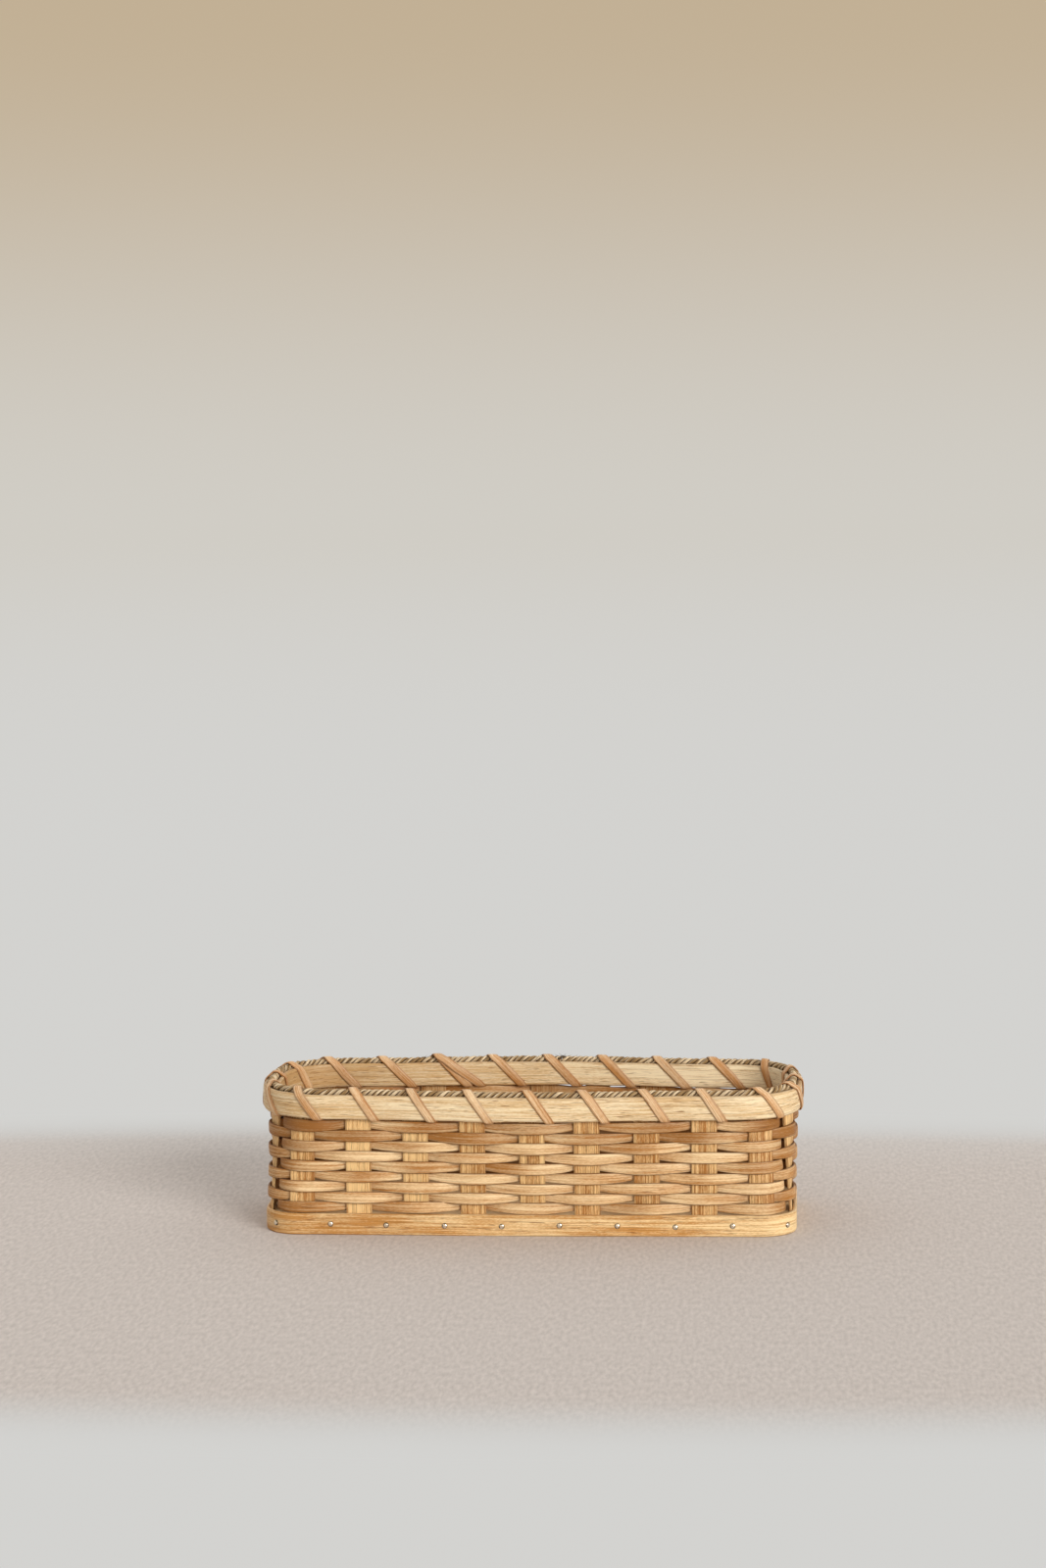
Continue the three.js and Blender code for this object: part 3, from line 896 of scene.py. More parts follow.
class GrowthTree(Nodes):
    """A Geometry Nodes tree with named inputs, which grows a piece on a path."""

    def __init__(self, name: str, **inputs: Sequence[str]) -> None:
        """Starts a tree with a path, a material and a result.

        Args:
            name: The tree's name.
            **inputs: The names of its other inputs, by the kind of their sockets.
        """
        super().__init__(bpy.data.node_groups.new(name, "GeometryNodeTree"))
        new_socket = self.tree.interface.new_socket
        for kind, titles in {"Geometry": ("Path",), **inputs, "Material": ("Material",)}.items():
            for title in titles:
                new_socket(title, in_out="INPUT", socket_type="NodeSocket" + kind)
        new_socket("Geometry", in_out="OUTPUT", socket_type="NodeSocketGeometry")
        self.inputs = self.add("NodeGroupInput").outputs

    def get(self, kind: str, inputs: dict[int | str, Any] | None = None, **settings: Any) -> Socket:
        """The first output of a node that it adds."""
        return self.add(kind, inputs, **settings).outputs[0]

    def reads(self, name: str, data_type: str = "FLOAT_VECTOR") -> Socket:
        """The socket of a named attribute."""
        return self.get("GeometryNodeInputNamedAttribute", {"Name": name}, data_type=data_type)

    def keeps(self, geometry: Socket, name: str, value: Socket, data_type: str = "FLOAT_VECTOR",
              domain: str = "POINT") -> Socket:
        """Stores a value as a named attribute.

        Args:
            geometry: The geometry that gets it.
            name: The attribute's name.
            value: The value.
            data_type: The attribute's type.
            domain: What it is stored on.

        Returns:
            The geometry with the attribute.
        """
        inputs = {"Geometry": geometry, "Name": name, "Value": value}
        return self.get("GeometryNodeStoreNamedAttribute", inputs, data_type=data_type, domain=domain)

    def tube(self) -> Socket:
        """A tube along the path whose points know their place round it, as the attribute ring.

        Returns:
            The tube's geometry.
        """
        curve = self.get("GeometryNodeMeshToCurve", {"Mesh": self.inputs["Path"]})
        circle = self.get("GeometryNodeCurvePrimitiveCircle", {
            "Resolution": self.inputs["Section Points"], "Radius": 1.0})
        circle = self.keeps(circle, "ring", self.get("GeometryNodeInputPosition"))
        return self.get("GeometryNodeCurveToMesh", {
            "Curve": curve, "Profile Curve": circle, "Fill Caps": True})

    def finish(self, geometry: Socket) -> bpy.types.NodeTree:
        """Ends the tree with smooth faces, real geometry and the material.

        Args:
            geometry: What the tree has made.

        Returns:
            The finished tree.
        """
        smooth = self.get("GeometryNodeSetShadeSmooth", {"Geometry": geometry})
        real = self.get("GeometryNodeRealizeInstances", {"Geometry": smooth})
        dressed = self.get("GeometryNodeSetMaterial", {"Geometry": real, "Material": self.inputs["Material"]})
        self.add("NodeGroupOutput", {"Geometry": dressed})
        return self.tree

    def lay(self, tube: Socket, *terms: tuple[Socket, Socket], grain: Socket,
            edge: Socket) -> bpy.types.NodeTree:
        """Moves a tube's points to where they lie beside the path, and ends the tree.

        Args:
            tube: The tube or tubes.
            *terms: Each direction from the path's middle line, with how far a point lies in it.
            grain: A point's place in the grain.
            edge: How near a point is to the strip's edge, or how deep in a crease, up to 1.

        Returns:
            The finished tree.
        """
        place = self.vector("ADD", self.weighted(*terms), self.reads("middle"))
        laid = self.get("GeometryNodeSetPosition", {"Geometry": tube, "Position": place})
        laid = self.keeps(laid, "grain", grain)
        return self.finish(self.keeps(laid, "edge", edge, "FLOAT"))


def reed_tree() -> bpy.types.NodeTree:
    """Builds the tree that lays a reed's section along a path.

    The section is as wide as the path says. Its face and its back are each more or less full, and
    the fibres stand out of both as fine ribs along the strip.

    Returns:
        The tree.
    """
    build = GrowthTree("reed_along_path", Int=("Section Points",), Float=(
        "Face Fullness", "Back Fullness", "Rib Depth", "Rib Spacing", "Seed"))
    inputs, calc, run = build.inputs, build.calc, build.reads("run", "FLOAT")
    ring_x, ring_y, _ = build.split(build.reads("ring"))
    half_width, half_thickness, cupping = build.split(build.reads("section"))
    fullness = build.get("ShaderNodeMix", {
        0: calc("GREATER_THAN", ring_y, 0.0), 2: inputs["Back Fullness"], 3: inputs["Face Fullness"]})
    beside = calc("ABSOLUTE", ring_x)
    rest = calc("MAXIMUM", calc("SUBTRACT", 1.0, calc("POWER", beside, fullness)), 0.0)
    body = calc("POWER", rest, calc("DIVIDE", 1.0, fullness))
    across = calc("MULTIPLY", ring_x, half_width)

    rib_place = build.join(
        calc("DIVIDE", across, inputs["Rib Spacing"]), calc("MULTIPLY", run, 0.02), inputs["Seed"])
    ribs = calc("SUBTRACT", build.noise(rib_place, 1.0, 1.0), 0.5)
    ribs = calc("MULTIPLY", ribs, inputs["Rib Depth"])
    ribbed = calc("MULTIPLY_ADD", ribs, body, calc("MULTIPLY", body, half_thickness))
    through = calc("MULTIPLY", ribbed, calc("SIGN", ring_y))
    bent = calc("MULTIPLY", calc("MULTIPLY", across, across), cupping)
    lift = calc("SUBTRACT", through, bent)

    in_mm = build.weighted((build.join(0.0, across, through), 1 / MM))
    return build.lay(build.tube(), (build.reads("side"), across), (build.reads("facing"), lift),
                     grain=build.vector("ADD", in_mm, build.join(run)), edge=beside)


def cord_tree() -> bpy.types.NodeTree:
    """Builds the tree that twists strands round a path.

    Returns:
        The tree.
    """
    build = GrowthTree("strands_round_path", Int=("Section Points", "Strands"), Float=(
        "Lay Length", "Strand Radius", "Flattening", "Unevenness", "Seed"))
    inputs, calc = build.inputs, build.calc
    starts = build.get("GeometryNodeMeshLine", {"Count": inputs["Strands"], "Offset": (0.0, 0.0, 0.0)})
    strands = build.get("GeometryNodeInstanceOnPoints", {"Points": starts, "Instance": build.tube()})
    strands = build.keeps(strands, "ply", build.get("GeometryNodeInputIndex"), "FLOAT", "INSTANCE")
    strands = build.get("GeometryNodeRealizeInstances", {"Geometry": strands})

    run, ply = build.reads("run", "FLOAT"), build.reads("ply", "FLOAT")
    ring, facing, side = build.reads("ring"), build.reads("facing"), build.reads("side")
    ring_x, ring_y, _ = build.split(ring)
    turns = calc("ADD", calc("DIVIDE", run, inputs["Lay Length"]), calc("DIVIDE", ply, inputs["Strands"]))
    turns = calc("MULTIPLY_ADD", build.noise(build.reads("middle"), 28.0, 1.0), 0.9, turns)
    angle = calc("MULTIPLY", turns, math.tau)
    cosine, sine = calc("COSINE", angle), calc("SINE", angle)
    away = build.weighted((facing, cosine), (side, sine))
    around = build.weighted((facing, calc("MULTIPLY", sine, -1.0)), (side, cosine))

    wave = build.vector("MULTIPLY", build.join(run, ply, inputs["Seed"]), (0.22, 9.0, 1.0))
    uneven = calc("SUBTRACT", build.noise(build.vector("ADD", ring, wave), 1.3, 2.0), 0.5)
    uneven = calc("MULTIPLY_ADD", uneven, inputs["Unevenness"], 1.0)
    radius = calc("MULTIPLY", uneven, inputs["Strand Radius"])
    reach = calc("MULTIPLY_ADD", radius, ring_x, inputs["Strand Radius"])
    breadth = calc("MULTIPLY", calc("MULTIPLY", radius, ring_y), inputs["Flattening"])
    grain = build.join(run, calc("MULTIPLY", breadth, 1 / MM), calc("MULTIPLY", ply, 40.0))
    depth = calc("MULTIPLY_ADD", ring_x, -0.5, 0.5)
    return build.lay(strands, (away, reach), (around, breadth), grain=grain, edge=depth)


def nail_tree() -> bpy.types.NodeTree:
    """Builds the tree that drives a nail in at each point, a little out of true.

    Returns:
        The tree.
    """
    build = GrowthTree("nails_at_points", Object=("Nail",), Float=("Lean",), Int=("Seed",))
    nail = build.add("GeometryNodeObjectInfo", {"Object": build.inputs["Nail"]}).outputs["Geometry"]
    lean = build.get("FunctionNodeRandomValue", {
        "Min": (-1.0, -1.0, -1.0), "Max": (1.0, 1.0, 1.0), "Seed": build.inputs["Seed"]},
        data_type="FLOAT_VECTOR")
    axis = build.vector("ADD", build.weighted((lean, build.inputs["Lean"])), build.reads("facing"))
    rotation = build.get("FunctionNodeAlignRotationToVector", {"Vector": axis}, axis="Z")
    return build.finish(build.get("GeometryNodeInstanceOnPoints", {
        "Points": build.inputs["Path"], "Instance": nail, "Rotation": rotation}))


def grow(name: str, path: bpy.types.Mesh, tree: bpy.types.NodeTree,
         values: dict[str, Any]) -> bpy.types.Object:
    """Runs a Geometry Nodes tree on a path and keeps the result as a plain mesh.

    Args:
        name: The new object's name.
        path: The mesh that the tree starts from. It is removed.
        tree: The tree.
        values: The values of the tree's inputs, by name.

    Returns:
        The new object, at the origin, with its faces outwards.
    """
    maker = put_in_scene(name + ".path", path)
    modifier = maker.modifiers.new("grow", "NODES")
    modifier.node_group = tree
    for socket in tree.interface.items_tree:
        if socket.in_out == "INPUT" and socket.name in values:
            modifier[socket.identifier] = values[socket.name]
    graph = bpy.context.evaluated_depsgraph_get()
    grown = maker.evaluated_get(graph)
    mesh = bpy.data.meshes.new_from_object(grown, preserve_all_data_layers=True, depsgraph=graph)
    bpy.data.objects.remove(maker)
    bpy.data.meshes.remove(path)
    mesh.name = name
    for attribute in PATH_ATTRIBUTES:
        if attribute in mesh.attributes:
            mesh.attributes.remove(mesh.attributes[attribute])
    if enclosed_volume(mesh) < 0:
        mesh.flip_normals()
    return put_in_scene(name, mesh)


def enclosed_volume(mesh: bpy.types.Mesh) -> float:
    """Works out the volume that a mesh encloses.

    Args:
        mesh: The mesh, which is closed.

    Returns:
        The volume, which is below 0 when the faces point inwards.
    """
    mesh.calc_loop_triangles()
    corners = np.empty(len(mesh.loop_triangles) * 3, dtype=np.int32)
    mesh.loop_triangles.foreach_get("vertices", corners)
    points = np.empty(len(mesh.vertices) * 3, dtype=np.float32)
    mesh.vertices.foreach_get("co", points)
    a, b, c = (points.reshape(-1, 3)[corners.reshape(-1, 3)[:, k]] for k in range(3))
    return float(np.einsum("ij,ij->i", a, np.cross(b, c)).sum() / 6)


def turned_mesh(name: str, profile: Sequence[tuple[float, float]], sides: int) -> bpy.types.Mesh:
    """Turns a profile about the Z axis. Where it runs upwards, its faces look outwards.

    Args:
        name: The mesh's name.
        profile: The radius and height of each ring, or of a single point where the radius is 0.
        sides: The number of points of a ring.

    Returns:
        The new mesh, in the profile's unit.
    """
    verts, rings = [], []
    for radius, height in profile:
        angles = [math.tau * k / sides for k in range(sides if radius else 1)]
        rings.append([len(verts) + k % len(angles) for k in range(sides + 1)])
        verts += [(radius * math.cos(angle), radius * math.sin(angle), height) for angle in angles]
    quads = [(low[k], low[k + 1], high[k + 1], high[k])
             for low, high in zip(rings, rings[1:]) for k in range(sides)]
    mesh = bpy.data.meshes.new(name)
    mesh.from_pydata(verts, [], [tuple(dict.fromkeys(quad)) for quad in quads])
    return mesh


def join_to_frame(piece: bpy.types.Object, slot: str, *nodes: str) -> None:
    """Puts a piece on the basket's one body in place of the solids that it stands for.

    Args:
        piece: The finished piece.
        slot: A material slot; not used.
        *nodes: The solids that it replaces.
    """
    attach(piece, BODY)
    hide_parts(*nodes)
    log.info("%s: %d faces, in place of %s", piece.name, len(piece.data.polygons), ", ".join(nodes))


def wander(positions: Array, waves: float, size: float, rng: random.Random) -> Array:
    """A smooth random curve, the same at its two ends.

    Args:
        positions: Where the curve is wanted, from 0 to 1.
        waves: About how many waves it has.
        size: About how far it strays from 0.
        rng: Where its randomness comes from.

    Returns:
        The curve's values.
    """
    counts = [max(1, round(waves * share)) for share in (0.4, 0.7, 1.0, 1.4)]
    parts = [np.sin(math.tau * (positions * count + rng.random())) * rng.uniform(0.5, 1.0)
             for count in counts]
    return size * sum(parts) / 2


def paler_right(points: Array, amount: float) -> Array:
    """How much lighter a long strip is towards the right end, where its reed was cut from paler cane."""
    return amount * points[:, 0] / 170


def painted_end_shade(points: Array, left: float, right: float) -> Array:
    """Painted shade: how much darker a strip is round the basket's ends.

    Args:
        points: The strip's points.
        left: How much darker it is round the left end.
        right: How much darker it is round the right end.

    Returns:
        The amount at each point.
    """
    x = points[:, 0]
    return left * np.clip((-x - 115) / 40, 0, 1) + right * np.clip((x - 125) / 30, 0, 1)


@dataclass(frozen=True)
class Section:
    """A reed's section.

    Attributes:
        points: The number of points round it.
        face: How full its better face is: an ellipse's is 2, and more is nearer to a rectangle.
        back: How full its other side is.
        rib_depth: How far the ribs on it differ in height.
        rib_spacing: The distance between them.
    """

    points: int
    face: float
    back: float
    rib_depth: float = 0.0
    rib_spacing: float = 1.0


ROW_SECTION = Section(24, 3.2, 4.0, 0.12, 1.2)
STAKE_SECTION = Section(84, 7.0, 7.0, 0.42, 1.3)
RIM_SECTION = Section(44, 3.4, 6.0, 0.18, 1.4)
BASE_SECTION = Section(44, 5.0, 7.0, 0.16, 1.5)
LASH_SECTION = Section(20, 2.2, 5.0, 0.08, 1.5)
HIDDEN_SECTION = Section(16, 5.0, 5.0)
BLADE_SECTION = Section(8, 2.0, 2.0)


@dataclass
class Bench:
    """What every sub-assembly is made with.

    Attributes:
        wall: The wall that its strips follow.
        reed: The tree that makes a reed.
        cord: The tree that makes a cord.
        nails: The tree that places the nails.
    """

    wall: Wall
    reed: bpy.types.NodeTree
    cord: bpy.types.NodeTree
    nails: bpy.types.NodeTree

    def lay_reed(self, name: str, courses: Sequence[Course], section: Section, material: bpy.types.Material,
                 slot: str, node: str, seed: float, grain_start: float) -> None:
        """Makes a piece of reed and puts it in place of its solid.

        Args:
            name: The piece's name.
            courses: The lines of its strips.
            section: Their section.
            material: Their material.
            slot: A material slot, passed on to join_to_frame, where it is not used.
            node: The solid that it replaces.
            seed: What makes its ribs differ from others.
            grain_start: Where in the grain its first strip was cut, in millimetres.
        """
        piece = grow(name, path_mesh(name, courses, grain_start), self.reed, {
            "Section Points": section.points, "Face Fullness": section.face, "Back Fullness": section.back,
            "Rib Depth": section.rib_depth * MM, "Rib Spacing": section.rib_spacing * MM,
            "Seed": float(seed), "Material": material})
        join_to_frame(piece, slot, node)


# Sub-assemblies


@dataclass
class WovenWall:
    """The nine rows of narrow reed, woven over and under the stakes.

    Attributes:
        bench: What they are made with.
        rows: The number of rows.
        widths: A strip's width at places of its wave, which is -1 behind a stake, 0 between two,
            where the rows beside it squeeze it, and 1 outside one.
        thickness: A strip's thickness.
        corner_cut: How much further in it passes behind a stake of a corner.
        corner_shade: How much darker it is there, as painted shade in the hollow behind the corner stake.
        swing: How far its middle swings to either side of the stakes' middle surface.
        dip_rise: How much higher it lies behind a stake than outside one.
        top_dip_rise: The same for the top row.
        first_lift: How much higher the lowest row lies than its solid.
        slack: How much narrower and higher it can be to one side of a stake that it dips behind.
        unevenness: How far a crossing strays up or down, and in width.
        roll: How far a strip rolls about its own length, in degrees.
        tuck: How much wider the top row is at the back's left, where it is pushed up under the rim.
        tuck_rise: How much of that its middle rises.
        tuck_station: The middle of that place.
        tuck_reach: How far it reaches to either side, in stations.
        samples: The sections between two stakes.
        tones: How light (1) or dark (-1) each row is, from the lowest; the top two rows are darker partly as
            painted shade under the rim.
    """

    bench: Bench
    rows: int = 9
    widths: tuple[tuple[float, float], ...] = (
        (-1.0, 6.6), (-0.8, 5.6), (-0.4, 6.25), (0.0, 6.4), (0.7, 7.2), (1.0, 7.4))
    thickness: float = 1.6
    corner_cut: float = 4.5
    corner_shade: float = 6.0
    swing: float = 2.5
    dip_rise: float = 0.8
    top_dip_rise: float = 1.1
    first_lift: float = 0.25
    slack: float = 0.8
    unevenness: float = 0.4
    roll: float = 6.0
    tuck: float = 1.5
    tuck_rise: float = 0.4
    tuck_station: float = 18.4
    tuck_reach: float = 2.15
    samples: int = 32
    tones: tuple[float, ...] = (-0.1, 0.4, 0.55, 0.5, 0.2, 0.5, 0.0, -0.85, -0.8)

    def course(self, number: int, middle: float, width_scale: float = 1.0) -> Course:
        """The line of a woven row, from inside a stake at the left end all the way round to it.

        Args:
            number: The row's number. Odd rows pass outside the stakes with even numbers.
            middle: The height of its middle.
            width_scale: How much wider it is than a common row.

        Returns:
            The row's course.
        """
        wall = self.bench.wall
        rng = random.Random(100 + number)
        joint = wall.left + (0 if number % 2 else 1)
        stations, along = wall.once_round(joint, self.samples)
        jitter = np.array([[rng.uniform(-1, 1) for _ in range(wall.stakes)] for _ in range(3)])
        leans = np.array([rng.uniform(-1.0, 0.4) * self.slack for _ in range(wall.stakes)])

        # The wave is 1 outside a stake, 0 between two and -1 behind one
        stake = np.floor(stations).astype(int)
        here, then = stake % wall.stakes, (stake + 1) % wall.stakes
        share = np.array([wall.share(station) for station in stations])
        wave = np.where((stake + number) % 2, 1, -1) * np.cos(math.pi * share)
        behind = np.maximum(-wave, 0)
        blend = (1 - np.cos(math.pi * share)) / 2
        rise, spread, twist = jitter[:, here] * (1 - blend) + jitter[:, then] * blend
        lean = behind * leans[np.where(share < 0.5, here, then)] * np.sin(math.tau * share)
        dip_rise = self.top_dip_rise if number == self.rows else self.dip_rise
        height = middle + dip_rise * behind ** 2 + self.unevenness * rise + 0.5 * np.abs(lean)
        width = np.interp(wave, *zip(*self.widths))

        half_way = wall.stakes / 2
        from_corner = np.abs((stations[:, None] - wall.corner_stakes + half_way) % wall.stakes - half_way)
        corner_dip = np.where(from_corner.min(axis=1) < 0.5, np.sin(behind * math.pi / 2) ** 2, 0)
        offset = self.swing * wave - self.corner_cut * corner_dip
        if number == self.rows:
            past = (stations % wall.stakes - self.tuck_station) / self.tuck_reach
            tucked = self.tuck * np.exp(-past ** 4)
            width += tucked
            height += self.tuck_rise * tucked
        points = wall.points(stations, height, offset)
        roll = math.radians(self.roll) * twist[:, None]
        facing = wall.outward(stations, height) * np.cos(roll) + UP * np.sin(roll)
        half_width = width_scale * (width - lean + self.unevenness * spread) / 2
        tone = self.tones[(number - 1) % self.rows] + wander(along, 12, 0.75, rng) + paler_right(points, 0.2)
        # Painted shade behind the corner stakes and round the basket's ends
        tone -= self.corner_shade * np.minimum(corner_dip, 0.8) + painted_end_shade(points, 1.0, 1.2)
        return Course(points, facing, half_width, self.thickness / 2, tone=tone)

    def build(self) -> None:
        """Weaves the rows and puts each in place of its solid."""
        lower, upper = WEAVER_REED.material(), TOP_ROW_REED.material()
        for number in range(1, self.rows + 1):
            node = f"weaver_row_{number}"
            low, high = box_mm(node)
            lift = self.first_lift if number == 1 else 0.0
            course = self.course(number, (low.z + high.z) / 2 + lift)
            material = upper if number == self.rows else lower
            self.bench.lay_reed(f"woven_row_{number}", [course], ROW_SECTION, material, "weaver", node,
                                seed=number, grain_start=1000 * number)


@dataclass
class StakeRing:
    """The upright flat stakes round the basket.

    Attributes:
        bench: What they are made with.
        thickness: A stake's thickness.
        levels: The sections up a stake.
        front_tones: How light (1) or dark (-1) the front's stakes are, from the left.
        corner_tone: How light (1) or dark (-1) the corners' stakes are.
    """

    bench: Bench
    thickness: float = 1.6
    levels: int = 36
    front_tones: tuple[float, ...] = (0.3, 1.7, 1.0, -0.05, 0.1, 0.1, -0.1, -0.05, -0.1)
    corner_tone: float = 0.8

    def place_name(self, number: int) -> str:
        """Names the place of a stake.

        Args:
            number: The stake's number.

        Returns:
            The side that it stands on and its number there, from the left on the long sides.
        """
        wall = self.bench.wall
        if number < wall.side_stakes:
            return f"front_{number + 1}"
        if number < wall.back:
            return f"right_{number - wall.side_stakes + 1}"
        if number < wall.left:
            return f"back_{wall.left - number}"
        return f"left_{wall.stakes - number}"

    def course(self, number: int, low: float, high: float) -> Course:
        """The line of a stake, whose section bends with the wall.

        Args:
            number: The stake's number.
            low: The height of its foot.
            high: The height of its top.

        Returns:
            The stake's course.
        """
        wall = self.bench.wall
        rng = random.Random(300 + number)
        heights = np.linspace(low, high, self.levels)
        middle, left, right = [wall.points(number + side, heights, 0) for side in (0, -0.25, 0.25)]
        facing = wall.outward(number, heights)
        half_width = np.linalg.norm(right - left, axis=1) / 2
        rise = np.einsum("ij,ij->i", middle - (left + right) / 2, facing)
        tone = self.front_tones[number] if number < wall.side_stakes else rng.uniform(-0.5, 0.5)
        if number in wall.corner_stakes:
            tone = self.corner_tone
        tones = tone + wander(np.linspace(0, 1, self.levels), 2, 0.15, rng)
        return Course(middle, facing, half_width, self.thickness / 2, rise / half_width ** 2, tones)

    def build(self) -> None:
        """Stands each stake in place of its solid."""
        material = STAKE_REED.material()
        for number in range(self.bench.wall.stakes):
            place = self.place_name(number)
            low, high = box_mm("stake_" + place)
            course = self.course(number, low.z, high.z)
            self.bench.lay_reed("upright_" + place, [course], STAKE_SECTION, material, "stake",
                                "stake_" + place, seed=50 + number, grain_start=700 * number)


class Facing(Enum):
    """Which way the better face of a rim band looks."""

    OUTSIDE = 1
    INSIDE = -1


@dataclass
class Rim:
    """The two rim bands, the hidden row between them, the sea grass cord and the lashing.

    Attributes:
        bench: What it is made with.
        weaving: The woven rows, for the hidden row.
        outer_joint: Where the outer band's ends meet, in stakes past the back's first.
        cord_joint: Where the cord's ends meet, in the same way.
        lash_joint: Where the lashing starts, in the same way.
        hidden_swing: How far the hidden row swings to either side.
        hidden_thickness: Its thickness.
        row_width: The width of a common row, which it is compared with.
        cord_diameter: The sea grass cord's diameter where its strands lie close.
        cord_drop: How much lower it lies than its solid, pulled down by the lashing.
        lay: The length in which one of its strands goes round once.
        lash_width: The lashing's width.
        lash_thickness: The lashing's thickness.
        lash_slack: How far off the bands it lies.
        lash_browner: How much browner it is inside the basket than outside.
        top_lead: How far past its stake a wrap leaves the top outside.
        arrival_lead: How far past its stake a wrap reaches the top inside.
        under_step: How far the lashing moves on under the bands.
        under_gap: How clear of a stake it passes there.
        under_depth: How far from its lowest point it still counts as under the bands.
        start_step: How far before the last wrap the lashing starts, under the inner band.
        start_lift: How much higher it lies than the last wrap, which it crosses at the top.
        samples: The sections between two stakes.
        cord_samples: The same for the cord.
    """

    bench: Bench
    weaving: WovenWall
    outer_joint: int = 3
    cord_joint: float = 3.65
    lash_joint: int = 6
    hidden_swing: float = 1.7
    hidden_thickness: float = 1.1
    row_width: float = 7.0
    cord_diameter: float = 4.6
    cord_drop: float = 0.6
    lay: float = 12.0
    lash_width: float = 5.5
    lash_thickness: float = 1.1
    lash_slack: float = 0.12
    lash_browner: float = 0.6
    top_lead: float = -2.6
    arrival_lead: float = -3.1
    under_step: float = 2.0
    under_gap: float = 0.3
    under_depth: float = 1.2
    start_step: float = 8.8
    start_lift: float = 1.1
    samples: int = 24
    cord_samples: int = 60

    def __post_init__(self) -> None:
        """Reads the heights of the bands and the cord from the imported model."""
        band_low, band_high = box_mm("rim_band_outer")
        cord_low, cord_high = box_mm("rim_filler")
        self.bottom, self.top = band_low.z, band_high.z
        self.cord_height = (cord_low.z + cord_high.z) / 2 - self.cord_drop

    def band_course(self, facing: Facing, joint: int) -> Course:
        """The line of a rim band.

        Args:
            facing: Which band it is.
            joint: The stake at which it meets its own end.

        Returns:
            The band's course.
        """
        wall = self.bench.wall
        stations, along = wall.once_round(joint, self.samples)
        rng = random.Random(400 + joint)
        height = (self.bottom + self.top) / 2 + wander(along, 18, 0.22, rng)
        offset = facing.value * RIM_LAYER.middle + wander(along, 14, 0.12, rng)
        half_width = (self.top - self.bottom) / 2 + wander(along, 9, 0.1, rng)
        points = wall.points(stations, height, offset)
        slope, lift = (0.3, 0.1) if facing == Facing.OUTSIDE else (1.6, 0.25)
        tone = wander(along, 4, 0.3, rng) + paler_right(points, slope) + lift
        outward = facing.value * wall.outward(stations, self.top)
        return Course(points, outward, half_width, RIM_LAYER.thickness / 2, tone=tone)

    def bundle_outline(self, distance: float, count: int = 96, fullness: float = 2.6) -> tuple[Array, Array]:
        """The closed line that a taut strip takes round the bands and the cord, in section.

        Args:
            distance: How far off them the line lies.
            count: The number of its points.
            fullness: How full a band's face is.

        Returns:
            The points as offset and height, from the top outwards and down, and their normals.
        """
        angles = np.linspace(0, math.tau, 48, endpoint=False)
        circle = np.stack([np.cos(angles), np.sin(angles)], axis=1)
        crown = (1 - np.abs(circle[:, 0]) ** fullness) ** (1 / fullness)
        depth = RIM_LAYER.back + RIM_LAYER.thickness / 2 * (1 + crown)
        height = (self.top + self.bottom) / 2 + (self.top - self.bottom) / 2 * circle[:, 0]
        band = np.stack([depth, height], axis=1)
        cord = self.cord_diameter / 2 * circle + (0, self.cord_height)
        solid = np.concatenate([band, band * (-1, 1), cord])
        hull = convex_hull((solid[:, None, :] + distance * circle[None, :, :]).reshape(-1, 2))
        hull = np.roll(hull, -int(np.argmin(np.hypot(hull[:, 0], hull[:, 1] - hull[:, 1].max()))), axis=0)
        closed = np.concatenate([hull, hull[:1]])
        run = np.concatenate([[0], np.cumsum(np.linalg.norm(np.diff(closed, axis=0), axis=1))])
        even = np.linspace(0, run[-1], count, endpoint=False)
        outline = np.stack([np.interp(even, run, closed[:, k]) for k in range(2)], axis=1)
        for _ in range(2):
            outline = (np.roll(outline, 1, axis=0) + 2 * outline + np.roll(outline, -1, axis=0)) / 4
        along = np.roll(outline, -1, axis=0) - np.roll(outline, 1, axis=0)
        normal = unit(np.stack([-along[:, 1], along[:, 0]], axis=1))
        outwards = np.sign(np.einsum("ij,ij->i", normal, outline - outline.mean(axis=0)))[:, None]
        return outline, normal * outwards

    def turning_places(self, outline: Array) -> list[int]:
        """Where the lashing's slant changes: on top, under the outer band, under the inner, on top."""
        under = np.flatnonzero(outline[:, 1] < outline[:, 1].min() + self.under_depth)
        return [2, int(under[0]), int(under[-1]), len(outline) - 3]

    def lash_course(self) -> Course:
        """The line of the lashing: down outside each stake, on under the bands and up inside.

        Returns:
            The lashing's course.
        """
        wall = self.bench.wall
        outline, normal = self.bundle_outline(self.lash_thickness / 2 + self.lash_slack)
        turns = self.turning_places(outline)
        first = wall.back + self.lash_joint
        under = wall.stake_width / 2 + self.under_gap + self.lash_width / math.sqrt(2) - self.under_step / 2
        whole = np.arange(len(outline))
        distances, places, lifts = [], [], []
        for wrap in range(-1, wall.stakes):
            here, following = [wall.stake_distance(wall.rim, first + wrap + k) for k in (0, 1)]
            leads = np.array([here + self.top_lead, here + under, here + under + self.under_step,
                              following + self.arrival_lead])
            steps, lift = whole, np.zeros(len(whole))
            if wrap == -1:
                leads[1:3] -= self.start_step
                steps = whole[turns[2] - 4:]
                lift = np.interp(whole, [turns[2] + 4, len(whole) - 12], [0, self.start_lift])
            elif wrap == 0:
                lift = np.interp(whole, [2, 14], [self.start_lift, 0])
            elif wrap == wall.stakes - 1:
                steps = whole[:turns[3] - 2]
            distances.append(np.interp(steps, turns, leads))
            places.append(steps)
            lifts.append(lift[steps])
        distance, place, lift = [np.concatenate(rows) for rows in (distances, places, lifts)]
        for _ in range(6):
            distance[1:-1] = (distance[:-2] + 2 * distance[1:-1] + distance[2:]) / 4
        stations = np.array([wall.station(d) for d in distance])
